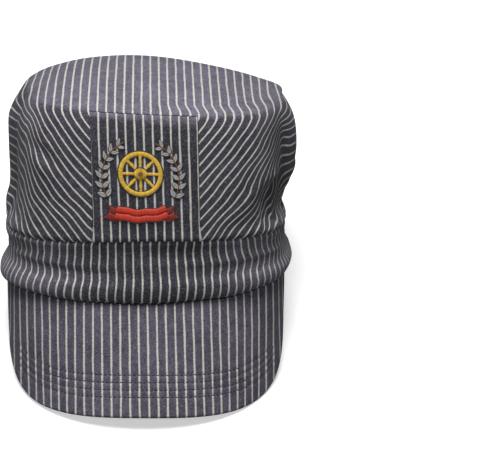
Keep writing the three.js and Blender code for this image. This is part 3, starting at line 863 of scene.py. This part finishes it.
def plain_material(name, color, roughness, glow=0.0):
    """A matt surface with a faint grain, and a light of its own."""
    material, w = new_material(name)
    place = w.add("ShaderNodeTexCoord", {}).outputs["Object"]
    color = w.shaded([*color, 1], w.spread(w.noise(place, 40.0), 0.3, 0.7, 0.985, 1.0))
    inputs = {"Base Color": color, "Roughness": roughness, "Emission Strength": glow}
    inputs["Emission Color"] = [1, 1, 1, 1]
    shader = w.add("ShaderNodeBsdfPrincipled", inputs).outputs[0]
    w.add("ShaderNodeOutputMaterial", {"Surface": shader})
    return material


def install(piece, material, slot, *replaced):
    """Gives a finished piece its material and its place on the cap's one body, and hides the parts that it
    replaces. The slot is not used.
    """
    piece.data.materials.append(material)
    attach(piece, "root")
    if replaced:
        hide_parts(*replaced)


def crown_azimuths(positions):
    """Azimuths of the crown's columns for each row, from the back round the right to the back again: even
    inside the panel's notch, short steps beside it, even steps in the deep side folds and round the back."""
    sides = []
    for sign in (-1, 1):
        edge = panel_azimuth(sign, positions)[:, None]
        near = edge + (sign * math.radians(50) - edge) * graded(0, 1, 36, 1.7)[1:]
        far = [np.linspace(50, 66, 27)[1:], np.linspace(66, 180, 71)[1:]]
        far = sign * np.radians(np.concatenate(far)) + 0 * edge
        sides.append(np.concatenate([near, far], 1))
    notch = panel_azimuth(np.linspace(-1, 1, 2 * NOTCH_HALF + 1)[None, :], positions[:, None])
    return np.concatenate([sides[0][:, ::-1], notch, sides[1]], 1)


def past_fold(drop, bend):
    """The drop beyond a bend, eased in: (t + sqrt(t^2 + 4h^2)) / 2 with t the drop less the bend, less its
    value at the fold."""
    def eased(t):
        return (t + np.sqrt(t * t + 4 * BEND_SOFTNESS**2)) / 2

    return np.where(drop > 0, eased(drop - bend) - eased(-bend), 0)


def crown_cloth(points, azimuth, fold):
    """Cloth coordinates of the crown. The top's stripes run from front to back. Below the fold they slant
    towards the panel at the front, lie level along the sides and hang down at the back."""
    x, y = points[..., 0], points[..., 1]
    up = travelled(points, 0)
    drop = up[fold] - up
    turned = np.degrees(np.abs(azimuth))
    side = np.sign(azimuth)
    jog = JOG * smooth_step(JOG_FROM, JOG_TO, x) * smooth_step(JOG_REACH, 1, -drop)
    jog = jog * smooth_step(*JOG_TURNS, turned)
    label = TOP_STRETCH * (x - TOP_MIDDLE - jog)
    behind = smooth_step(*BACK_PLACES, y) * smooth_step(*BACK_CLIMB, -drop)
    label = label - BACK_EASE * np.maximum(x, 0) * behind
    pairs = (CHEVRON_SLOPES, CHEVRON_BENDS, WALL_SLACKS)
    slope, bend, slack = (np.where(azimuth < 0, *pair) for pair in pairs)
    shares = at_height(GATHER_SHARES, drop)
    left = at_height(SIDE_GATHERS, turned)["left"] * shares["left"]
    right = at_height(SIDE_GATHERS, turned + shares["pinch"])["right"] * shares["right"]
    foot = FOOT_SHIFT * smooth_step(*FOOT_DROPS, drop) * smooth_step(*FOOT_TURNS, turned)
    slanted = slope * past_fold(drop, bend) + np.where(azimuth < 0, left, right) + foot
    fallen = np.maximum(drop, 0)
    slack = slack * smooth_step(*SLACK_TURNS, turned) * (1 - np.exp(-fallen / WALL_REACH))
    sink = SIDE_SINK * np.clip(y, *SINK_PLACES) * smooth_step(*SINK_DROPS, drop)
    level_run = (fallen - slack - sink) * smooth_step(*HANGING_TURNS, turned)
    blend = smooth_step(*LEVEL_TURNS, turned)
    below = label[fold] + side * (slanted * (1 - blend) + level_run * blend)
    across = np.where(drop > 0, below, label)
    along = np.where(drop > 0, y[fold] - np.cos(azimuth) * drop, y)
    return np.stack([across, along], -1)


def build_crown(settings):
    last = len(CROWN_SECTIONS["height"]) - 1
    wall = np.linspace(0.4, FOLD_POSITION, 70)[1:-1]
    positions = np.concatenate([graded(0, 0.4, 8), wall, graded(FOLD_POSITION, last, 54, 1.6)])
    fold = int(np.argmin(np.abs(positions - FOLD_POSITION)))
    azimuth = crown_azimuths(positions)
    points = crown_point(azimuth, positions[:, None], (CLOTH_FOLDS, CROWN_CREASES), settings.pucker)
    middle = azimuth.shape[1] // 2
    left, right = middle - NOTCH_HALF, middle + NOTCH_HALF
    up = travelled(points, 0)
    level = travelled(points, 1)
    beside = np.maximum(np.maximum(level[:, [left]] - level, level - level[:, [right]]), 0)
    above = np.maximum(up - up[fold], 0)
    edge = np.minimum(2 * up, 3 * np.hypot(beside, above))
    uv = crown_cloth(points, azimuth, fold)
    height = row_at(CROWN_SECTIONS, positions)["height"][:, None]
    depth = -fold_depth(SOFT_FOLDS, azimuth, height)
    turned = np.degrees(np.abs(azimuth))
    # painted light on the crown's sides, where light falls on them
    painted_side_light = CROWN_SIDE_PAINTED_LIGHT * smooth_step(*SIDE_LIGHT_TURNS, turned) * smooth_step(*SIDE_LIGHT_END_TURNS, turned)
    # painted shade in the deep side folds
    shaded = np.clip((depth - FOLD_SHADE) / FOLD_SHADE_REACH, 0, 1)
    # painted light on the top above the fold and on the sides, less the painted shade in the folds
    painted_shading = np.maximum(smooth_step(-3, 3, up - up[fold]), painted_side_light) - shaded

    def beside_notch(i, j):
        return (i >= fold) | (j < left) | (j >= right)

    return cloth_object("crown_cloth", points, settings.wall, edge, uv, painted_shading, beside_notch, True, TOP)


def build_panel(settings):
    foot = float(position_at(CROWN_SECTIONS, SEAM_HEIGHT + SEAM_GAP))
    head = float(position_at(CROWN_SECTIONS, FOLD_HEIGHT - SEAM_GAP))
    across = graded_ends(-1, 1, 7, 70, 0.06)[None, :]
    position = graded_ends(foot, head, 7, 80, 0.25)[:, None]
    lift = PANEL_WAVE * ripple(across * 2.2, (1, 2.3, 3.1), 21) * ripple(position * 0.8, (1, 2.2), 22)
    points = panel_point(across + 0 * position, position + 0 * across, lift)
    climbed = (points[..., 2] - SEAM_HEIGHT) / (FOLD_HEIGHT - SEAM_HEIGHT)
    up = travelled(points, 0)
    level = travelled(points, 1)
    edge = np.minimum(np.minimum(2 * up, 3 * (up[-1] - up)), 2 * np.minimum(level, level[:, [-1]] - level))
    uv = np.stack([PANEL_STRETCH * points[..., 0] + PANEL_LEAN * climbed, up], -1)
    # painted light along the panel's upper edge, as on the top
    painted_shading = PANEL_EDGE_PAINTED_LIGHT * smooth_step(-PANEL_LIGHT_REACH - PANEL_LIGHT_LEAN * across, -1, up - up[-1])
    return cloth_object("front_panel_cloth", points, settings.wall, edge, uv, painted_shading)


def build_band(settings):
    last = len(BAND_SECTIONS["height"]) - 1
    position = graded_ends(0, last, 8, 56, 0.3)[:, None]
    azimuth = np.radians(np.linspace(-180, 180, 481))[None, :]
    folds = (BAND_FOLDS, BAND_CREASES)
    points = wall_point(BAND_SECTIONS, folds, azimuth, position, settings.pucker, BAND_FULLNESS)
    up = travelled(points, 0)
    edge = np.minimum(up, 2 * (up[-1] - up))
    smooth = wall_point(BAND_SECTIONS, (), azimuth, np.array([[3.0]]))
    around = travelled(smooth, 1)[0]
    middle = len(around) // 2
    warps = at_height(BAND_WARPS, row_at(BAND_SECTIONS, position)["height"])
    turned = np.degrees(azimuth)
    left = warps["left"] * smooth_step(*WARP_LEFT_TURNS, turned)
    right = warps["right"] * smooth_step(*WARP_RIGHT_TURNS, turned)
    warp = (warps["all"] + left - right) * smooth_step(*WARP_TURNS, np.abs(turned))
    uv = np.stack([around - around[middle] + BAND_MIDDLE + warp, up + 0 * warp], -1)
    # painted light on the band's sides
    painted_shading = BAND_SIDE_PAINTED_LIGHT * smooth_step(*BAND_SIDE_LIGHT_TURNS, np.abs(turned)) + 0 * up
    return cloth_object("band_cloth", points, settings.band_wall, edge, uv, painted_shading, wrapped=True)


def level_distance(points):
    """Distance from the middle column, counted square to the grid's columns, as woven stripes count it."""
    step = np.diff(points, axis=1)
    column = unit(np.gradient(points, axis=0))
    column = unit(column[:, 1:] + column[:, :-1])
    square = step - (step * column).sum(-1, keepdims=True) * column
    distance = np.pad(np.cumsum(np.linalg.norm(square, axis=-1), 1), ((0, 0), (1, 0)))
    middle = distance.shape[1] // 2
    return distance - distance[:, [middle]]


def build_visor(settings):
    across = graded_ends(-1, 1, 8, 191, 0.03)[None, :]
    out = graded_ends(0, 1, 8, 80, 0.06)[::-1][:, None]
    points = visor_point(across + 0 * out, out + 0 * across)
    up = travelled(points, 0)
    edge, ends = edge_distance(up, travelled(points, 1))
    groove = 0 * up
    for row in range(settings.stitch_rows):
        inset = settings.stitch_inset + row * settings.stitch_spacing
        groove += np.exp(-(((up - inset) / GROOVE_WIDTH) ** 2))
    groove *= smooth_step(*GROOVE_ENDS, ends)
    points = points - grid_normals(points) * GROOVE_DEPTH * groove[..., None]
    stretch = VISOR_STRETCH[0] + VISOR_STRETCH[1] * out
    across = level_distance(points) * stretch - VISOR_MIDDLE[0] - VISOR_MIDDLE[1] * out
    ease = VISOR_EASE * smooth_step(VISOR_EASE_FROM, VISOR_EASE_TO, np.abs(across))
    uv = np.stack([across - np.sign(across) * ease, up], -1)
    return cloth_object("visor_cloth", points, settings.visor_wall, edge, uv, 0 * up)


def build_seam_tape(settings):
    """The edge of the visor's cloth, turned up behind the headband where it is sewn on. Below the hem it
    draws inwards."""
    height = graded_ends(TAPE_FOOT, TAPE_HEAD, 4, 5, 1)[:, None]
    azimuth = np.linspace(-TAPE_HALF, TAPE_HALF, 121)[None, :]
    hem = BAND_SECTIONS["height"][0]
    section = at_height(BAND_SECTIONS, np.maximum(height, hem))
    radius = super_radius(azimuth, section) - settings.band_wall - TAPE_GAP
    radius = radius - TAPE_DRAW * np.maximum(hem - height, 0)
    level = height + edge_shift("hem", azimuth)
    side = radius * np.sin(azimuth) + section["shift"]
    points = np.stack([side, -radius * np.cos(azimuth), level + 0 * radius], -1)
    up = travelled(points, 0)
    along = travelled(points, 1)
    uv = np.stack([along, up], -1)
    edge = edge_distance(up, along)[0]
    return cloth_object("visor_seam_tape", points, TAPE_WALL, edge, uv, 0 * up)


def visor_flat_point(flat):
    """A place on the visor, given as mm along its arc, mm in from its outer edge and mm off the cloth."""
    across = flat[..., 0] / VISOR_HALF_ARC
    reach = np.linalg.norm(visor_point(across, 1 + 0 * across) - visor_point(across, 0 * across), axis=-1)
    out = 1 - flat[..., 1] / reach
    step = 0.01
    sideways = visor_point(across + step, out) - visor_point(across - step, out)
    inwards = visor_point(across, out - step) - visor_point(across, out + step)
    normal = unit(np.cross(sideways, inwards))
    return visor_point(across, out) + normal * flat[..., 2:]


def build_stitches(settings):
    """Rows of machine stitches: each is an arch of thread that dives into the cloth at both ends."""
    strands = []
    share = np.linspace(-1, 1, 6)
    for row in range(settings.stitch_rows):
        inset = settings.stitch_inset + row * settings.stitch_spacing
        half = ROW_HALF - ROW_STEP * row
        middles = np.arange(-half, half, settings.stitch_pitch)
        side = middles[:, None] + share * settings.stitch_pitch * STITCH_SHARE
        lift = STITCH_DIVE + STITCH_RISE * (1 - share**4) + 0 * side
        paths = np.stack([side, inset + 0 * side, lift], -1)
        strands.append((paths, STITCH_RADIUS, OUTLINE))
    return thread_object("visor_stitches", strands, visor_flat_point)


def satin(first, second, rise, radius, dye, steps=7, lift=0.0):
    """Satin stitches from points on one edge of a shape to points on the other, as a strand group. Each
    thread lies over the middle by rise * sin(pi t)^0.7."""
    t = np.linspace(0, 1, steps)[:, None]
    flat = first[:, None] + (second - first)[:, None] * t
    above = lift + rise * np.sin(np.pi * np.linspace(0.04, 0.96, steps)) ** 0.7
    above = np.broadcast_to(above[:, None], flat.shape[:2] + (1,))
    return np.concatenate([flat, above], -1), radius, dye


def polar(radius, angle):
    """Points round the emblem's middle."""
    return np.stack([radius * np.cos(angle), radius * np.sin(angle)], -1)


def loop_thread(points, lift, radius, dye=OUTLINE):
    """One long thread along a line of flat points, as a strand group."""
    return np.concatenate([points, np.full((len(points), 1), lift)], -1)[None], radius, dye


def build_wheel(settings):
    thread = settings.thread
    radius = thread * SATIN_RADIUS
    centre = np.array([0, WHEEL_RISE])
    count = int(2 * np.pi * WHEEL_RADIUS / thread)
    angle = 2 * np.pi * np.arange(count) / count
    inner = WHEEL_RADIUS - WHEEL_RIM
    rim = (centre + polar(WHEEL_RADIUS, angle), centre + polar(inner, angle + 0.06))
    strands = [satin(*rim, 0.5, radius, FIRST)]
    hub_angle = np.linspace(0, np.pi, int(2 * WHEEL_HUB / thread) + 2)[1:-1]
    chord = np.cos(hub_angle) * WHEEL_HUB
    height = np.sqrt(WHEEL_HUB**2 - chord**2)
    low, high = (centre + np.stack([chord, sign * height], -1) for sign in (-1, 1))
    strands.append(satin(low, high, 0.9, radius, FIRST))
    for spoke in range(WHEEL_SPOKES):
        turn = 2 * np.pi * spoke / WHEEL_SPOKES
        along = np.arange(WHEEL_HUB - 0.3, inner + 0.3, thread)
        out = np.array([math.cos(turn), math.sin(turn)])
        side = np.array([-out[1], out[0]])
        base = centre + along[:, None] * out
        swell = WHEEL_SPOKE / 2 * (0.75 + 0.25 * np.cos(np.linspace(-np.pi, np.pi, len(along))) ** 2)
        edge = swell[:, None] * side
        strands.append(satin(base - edge, base + edge + 0.3 * out, 0.35, radius, FIRST))
    dot = 2 * np.pi * np.arange(DOT_THREADS) / DOT_THREADS
    ends = (centre + 0 * polar(1, dot), centre + polar(HUB_DOT, dot))
    strands.append(satin(*ends, 0.3, thread * FINE_RADIUS, SECOND, lift=DOT_LIFT))
    ring = np.linspace(0, 2 * np.pi, 90)
    for reach, lift in ((WHEEL_RADIUS + 0.25, 0.14), (inner - 0.25, 0.14), (WHEEL_HUB + 0.1, 0.3)):
        strands.append(loop_thread(centre + polar(reach, ring), lift, 0.36))
    return thread_object("emblem_wheel_threads", strands, emblem_point)


def build_spray(settings, name, side):
    thread = settings.thread
    angles = np.linspace(SPRAY_FROM, SPRAY_TO, 60)
    strands = [loop_thread(polar(SPRAY_RADIUS, angles) * [side, 1], 0.35, 0.42, SECOND)]
    share = (np.arange(SPRAY_LEAVES) + 0.35) / SPRAY_LEAVES
    step = (SPRAY_TO - SPRAY_FROM) / SPRAY_LEAVES
    for place in share:
        angle = SPRAY_FROM + (SPRAY_TO - SPRAY_FROM) * place
        size = 1 - 0.3 * place
        for edge in (-1, 1):
            root = polar(SPRAY_RADIUS, angle - 0.25 * step)
            tip = polar(SPRAY_RADIUS + edge * SPRAY_LEAF * size, angle + 0.42 * step)
            axis = tip - root
            length = np.linalg.norm(axis)
            axis = axis / length
            normal = np.array([-axis[1], axis[0]])
            t = np.arange(0.06, 0.97, thread / length)
            vein = root + (t * length)[:, None] * axis
            width = SPRAY_LEAF_WIDTH * size * np.sin(np.pi * t**0.8)
            for half in (-1, 1):
                rim = vein + half * width[:, None] * normal + 0.35 * thread * axis * 2
                ends = (vein * [side, 1], rim * [side, 1])
                strands.append(satin(*ends, 0.35, thread * FINE_RADIUS, FIRST, 5))
            t = np.linspace(0, 1, 24)
            bulge = (SPRAY_LEAF_WIDTH * size * np.sin(np.pi * t**0.8) + 0.25)[:, None] * normal
            line = root + (t * length)[:, None] * axis
            for half in (-1, 1):
                strands.append(loop_thread((line + half * bulge) * [side, 1], 0.12, 0.28))
    return thread_object(name, strands, emblem_point)


def ribbon_place(angle, offset):
    """A place on the ribbon: it curves round a centre above it, offset counts up from its middle line."""
    reach = RIBBON_RADIUS - offset
    return np.stack([reach * np.sin(angle), RIBBON_DROP + RIBBON_RADIUS - reach * np.cos(angle)], -1)


def build_ribbon(settings):
    thread = settings.thread
    radius = thread * SATIN_RADIUS
    strands = []
    half = RIBBON_WIDTH / 2
    angle = np.arange(-RIBBON_FOLD, RIBBON_FOLD, thread / RIBBON_RADIUS)
    wave = RIBBON_WAVE * np.sin(angle * RIBBON_WAVES)
    for low, high in ((-half, -0.1), (0.1, half)):
        ends = (ribbon_place(angle, low + wave), ribbon_place(angle + 0.006, high + wave))
        strands.append(satin(*ends, 0.5, radius, FIRST, lift=RIBBON_LIFT))
    for side in (-1, 1):
        tail = np.arange(RIBBON_FOLD - 0.045, RIBBON_HALF, thread / RIBBON_RADIUS)
        share = (tail - tail[0]) / (tail[-1] - tail[0])
        notch = np.maximum(share - 1 + RIBBON_NOTCH, 0) / RIBBON_NOTCH
        drop = RIBBON_TAIL_DROP
        for low, high in ((-half, -half * notch), (half * notch, half)):
            first = ribbon_place(side * tail, low + drop + 0 * tail)
            second = ribbon_place(side * tail, high + drop + 0 * tail)
            strands.append(satin(first, second, 0.3, radius, SECOND))
        end = np.linspace(-1, 1, 24)
        cut = RIBBON_HALF - RIBBON_NOTCH * (RIBBON_HALF - RIBBON_FOLD) * (1 - np.abs(end))
        turn = side * RIBBON_FOLD
        lines = [(ribbon_place(side * tail, sign * half + drop + 0 * tail), 0.1) for sign in (-1, 1)]
        lines.append((ribbon_place(side * cut, half * end + drop), 0.1))
        wave_here = RIBBON_WAVE * math.sin(turn * RIBBON_WAVES)
        lines.append((ribbon_place(turn + 0 * end, half * end + wave_here), 0.6))
        for line, lift in lines:
            strands.append(loop_thread(line, lift, EDGE_THREAD))
    for sign in (-1, 1):
        line = ribbon_place(angle, sign * (half + 0.1) + wave)
        strands.append(loop_thread(line, 0.45, 0.27))
    return thread_object("emblem_ribbon_threads", strands, emblem_point)


class CapSettings(bpy.types.PropertyGroup):
    """Sizes, colours and lights that a user would change. Cloth sizes are in millimetres."""

    pitch: FloatProperty(name="Stripe pitch", description="Between the woven lines, mm", default=5.58, min=1)
    line: FloatProperty(name="Line", description="Width of a woven line, mm", default=1.08, min=0.1)
    yarn: FloatProperty(name="Yarn", description="Width of one yarn, mm", default=0.62, min=0.1)
    mottle: FloatProperty(name="Mottle", description="How uneven the dark yarn's dye is", default=0.4, min=0)
    sheen: FloatProperty(name="Sheen", description="Bloom of the brushed cotton", default=0.08, min=0, max=1)
    dark: FloatVectorProperty(
        name="Dark yarn",
        description="Colour of the cloth between the lines",
        subtype="COLOR",
        default=(0.036, 0.032, 0.046),
    )
    light: FloatVectorProperty(
        name="Line yarn", description="Colour of the lines", subtype="COLOR", default=(0.62, 0.615, 0.57)
    )
    weft: FloatVectorProperty(
        name="Weft", description="Colour of the flecks", subtype="COLOR", default=(0.24, 0.22, 0.29)
    )
    wall: FloatProperty(name="Cloth", description="Thickness of crown and panel, mm", default=1.8, min=0.5)
    band_wall: FloatProperty(name="Band", description="Thickness of the headband, mm", default=2.4, min=0.5)
    visor_wall: FloatProperty(name="Visor", description="Thickness of the visor, mm", default=3.2, min=1)
    pucker: FloatProperty(name="Pucker", description="Depth of seam puckers, mm", default=0.35, min=0, max=2)
    stitch_rows: IntProperty(name="Stitch rows", description="Rows along the visor", default=4, min=0, max=9)
    stitch_inset: FloatProperty(name="Inset", description="Edge to the first row, mm", default=13, min=3)
    stitch_spacing: FloatProperty(name="Row spacing", description="Between the rows, mm", default=4.6, min=2)
    stitch_pitch: FloatProperty(name="Stitch length", description="One stitch, mm", default=3.0, min=1)
    thread: FloatProperty(name="Thread", description="Between embroidery threads, mm", default=0.4, min=0.2)
    gold: FloatVectorProperty(
        name="Gold", description="Wheel thread", subtype="COLOR", default=(0.78, 0.5, 0.05)
    )
    grey: FloatVectorProperty(
        name="Grey", description="Leaf thread", subtype="COLOR", default=(0.46, 0.46, 0.46)
    )
    red: FloatVectorProperty(
        name="Red", description="Ribbon thread", subtype="COLOR", default=(0.66, 0.045, 0.018)
    )
    brown: FloatVectorProperty(
        name="Brown", description="Hub and stems", subtype="COLOR", default=(0.2, 0.07, 0.015)
    )
    glow: FloatProperty(name="Floor glow", description="Own light of the white floor", default=0.45, min=0)
    key: FloatProperty(name="Key light", description="Overhead softbox", default=26, min=0, unit="POWER")
    fill: FloatProperty(name="Fill light", description="Front softbox", default=6.6, min=0, unit="POWER")
    sky: FloatProperty(name="Sky", description="Strength of the white surroundings", default=0.1, min=0)


class CAP_OT_crown(bpy.types.Operator):
    """Build the soft crown as one cloth wall with a notch for the front panel"""

    bl_idname = "cap.crown"
    bl_label = "Crown"

    def execute(self, context):
        settings = context.scene.engineer_cap
        install(build_crown(settings), cloth_material("crown denim", settings), "crown_cloth", "crown")
        return {"FINISHED"}


class CAP_OT_panel(bpy.types.Operator):
    """Build the upright panel at the middle of the front"""

    bl_idname = "cap.front_panel"
    bl_label = "Front panel"

    def execute(self, context):
        settings = context.scene.engineer_cap
        material = cloth_material("panel denim", settings, PANEL_PAINTED_LIGHTING)
        install(build_panel(settings), material, "crown_cloth", "front_panel")
        return {"FINISHED"}


class CAP_OT_band(bpy.types.Operator):
    """Build the soft headband"""

    bl_idname = "cap.band"
    bl_label = "Headband"

    def execute(self, context):
        settings = context.scene.engineer_cap
        material = cloth_material("band denim", settings, BAND_PAINTED_LIGHTING)
        install(build_band(settings), material, "band_cloth", "band")
        return {"FINISHED"}


class CAP_OT_visor(bpy.types.Operator):
    """Build the stiff visor and its rows of stitches"""

    bl_idname = "cap.visor"
    bl_label = "Visor"

    def execute(self, context):
        settings = context.scene.engineer_cap
        material = cloth_material("visor denim", settings, VISOR_PAINTED_LIGHTING)
        install(build_visor(settings), material, "visor_cloth", "visor")
        install(build_seam_tape(settings), cloth_material("tape denim", settings), "visor_cloth")
        dark = thread_material("stitching thread", OUTLINE_DYE, OUTLINE_DYE, STITCH_DYE, 0.7)
        install(build_stitches(settings), dark, "visor_cloth")
        return {"FINISHED"}


class CAP_OT_emblem(bpy.types.Operator):
    """Embroider the emblem: a spoked wheel, two leafy sprays and a ribbon"""

    bl_idname = "cap.emblem"
    bl_label = "Emblem"

    def execute(self, context):
        settings = context.scene.engineer_cap
        gold = thread_material("gold thread", settings.gold, settings.brown, OUTLINE_DYE)
        install(build_wheel(settings), gold, "gold_thread", "emblem_wheel")
        grey = thread_material("grey thread", settings.grey, settings.brown, OUTLINE_DYE)
        for name, side in (("emblem_wreath_left", -1), ("emblem_wreath_right", 1)):
            install(build_spray(settings, name + "_threads", side), grey, "grey_thread", name)
        shade = [c * TAIL_SHADE for c in settings.red]
        red = thread_material("red thread", settings.red, shade, OUTLINE_DYE)
        install(build_ribbon(settings), red, "red_thread", "emblem_ribbon")
        return {"FINISHED"}


def soft_light(name, place, target, size, power):
    """A round softbox that faces its target."""
    light = bpy.data.lights.new(name, "AREA")
    light.shape = "DISK"
    light.size = size
    light.energy = power
    lamp = bpy.data.objects.new(name, light)
    aim = Vector(target) - Vector(place)
    lamp.matrix_world = Matrix.Translation(place) @ aim.to_track_quat("-Z", "Y").to_matrix().to_4x4()
    bpy.context.scene.collection.objects.link(lamp)


class CAP_OT_stage(bpy.types.Operator):
    """Set the pale floor, the soft studio lights and the camera at the photograph's angle"""

    bl_idname = "cap.stage"
    bl_label = "Stage"

    def execute(self, context):
        scene = context.scene
        settings = scene.engineer_cap
        aim = Vector(placed(np.array(AIM)))
        focal = 1 / METRES_PER_PIXEL
        elevation = CAMERA_ABOVE_HEM + CAP_LEAN
        back = Vector((0, -math.cos(elevation), math.sin(elevation)))
        facing = back.to_track_quat("Z", "Y").to_matrix()
        across = AIM_PIXEL[0] - FRAME_WIDTH / 2
        above = FRAME_HEIGHT / 2 - AIM_PIXEL[1]
        off_centre = Vector((across, above, -focal)).rotation_difference(Vector((0, 0, -1)))
        camera = bpy.data.objects.new("camera", bpy.data.cameras.new("camera"))
        camera.data.sensor_width = SENSOR_WIDTH
        camera.data.lens = SENSOR_WIDTH * focal / FRAME_WIDTH
        turned = (facing @ off_centre.to_matrix()).to_4x4()
        camera.matrix_world = Matrix.Translation(aim + back) @ turned
        scene.collection.objects.link(camera)
        scene.camera = camera
        floor = bpy.data.meshes.new("floor")
        corners = [(x * FLOOR_HALF, y * FLOOR_HALF, 0) for x, y in ((-1, -1), (1, -1), (1, 1), (-1, 1))]
        floor.from_pydata(corners, [], [(0, 1, 2, 3)])
        floor.materials.append(plain_material("pale floor", (0.9, 0.9, 0.9), 0.9, settings.glow))
        ground = bpy.data.objects.new("floor", floor)
        scene.collection.objects.link(ground)
        ground.visible_diffuse = False
        ground.visible_glossy = False
        soft_light("key", KEY_PLACE, KEY_AIM, KEY_SIZE, settings.key)
        soft_light("fill", FILL_PLACE, FILL_AIM, FILL_SIZE, settings.fill)
        world = bpy.data.worlds.new("surroundings")
        world.use_nodes = True
        background = world.node_tree.nodes["Background"]
        background.inputs[0].default_value = (1, 1, 1, 1)
        background.inputs[1].default_value = settings.sky
        scene.world = world
        scene.view_settings.view_transform = "Standard"
        return {"FINISHED"}


class CAP_PT_panel(bpy.types.Panel):
    """The cap's steps and settings"""

    bl_idname = "CAP_PT_panel"
    bl_label = "Engineer Cap"
    bl_space_type = "VIEW_3D"
    bl_region_type = "UI"
    bl_category = "Engineer Cap"

    def draw(self, context):
        for step in STEPS:
            self.layout.operator(step.bl_idname)
        for name in CapSettings.__annotations__:
            self.layout.prop(context.scene.engineer_cap, name)


STEPS = (CAP_OT_stage, CAP_OT_crown, CAP_OT_panel, CAP_OT_band, CAP_OT_visor, CAP_OT_emblem)


def register():
    for cls in (CapSettings, *STEPS, CAP_PT_panel):
        bpy.utils.register_class(cls)
    bpy.types.Scene.engineer_cap = PointerProperty(type=CapSettings)


def unregister():
    del bpy.types.Scene.engineer_cap
    for cls in reversed((CapSettings, *STEPS, CAP_PT_panel)):
        bpy.utils.unregister_class(cls)


def main():
    register()
    for step in STEPS:
        family, name = step.bl_idname.split(".")
        getattr(getattr(bpy.ops, family), name)()


if __name__ == "__main__":
    main()
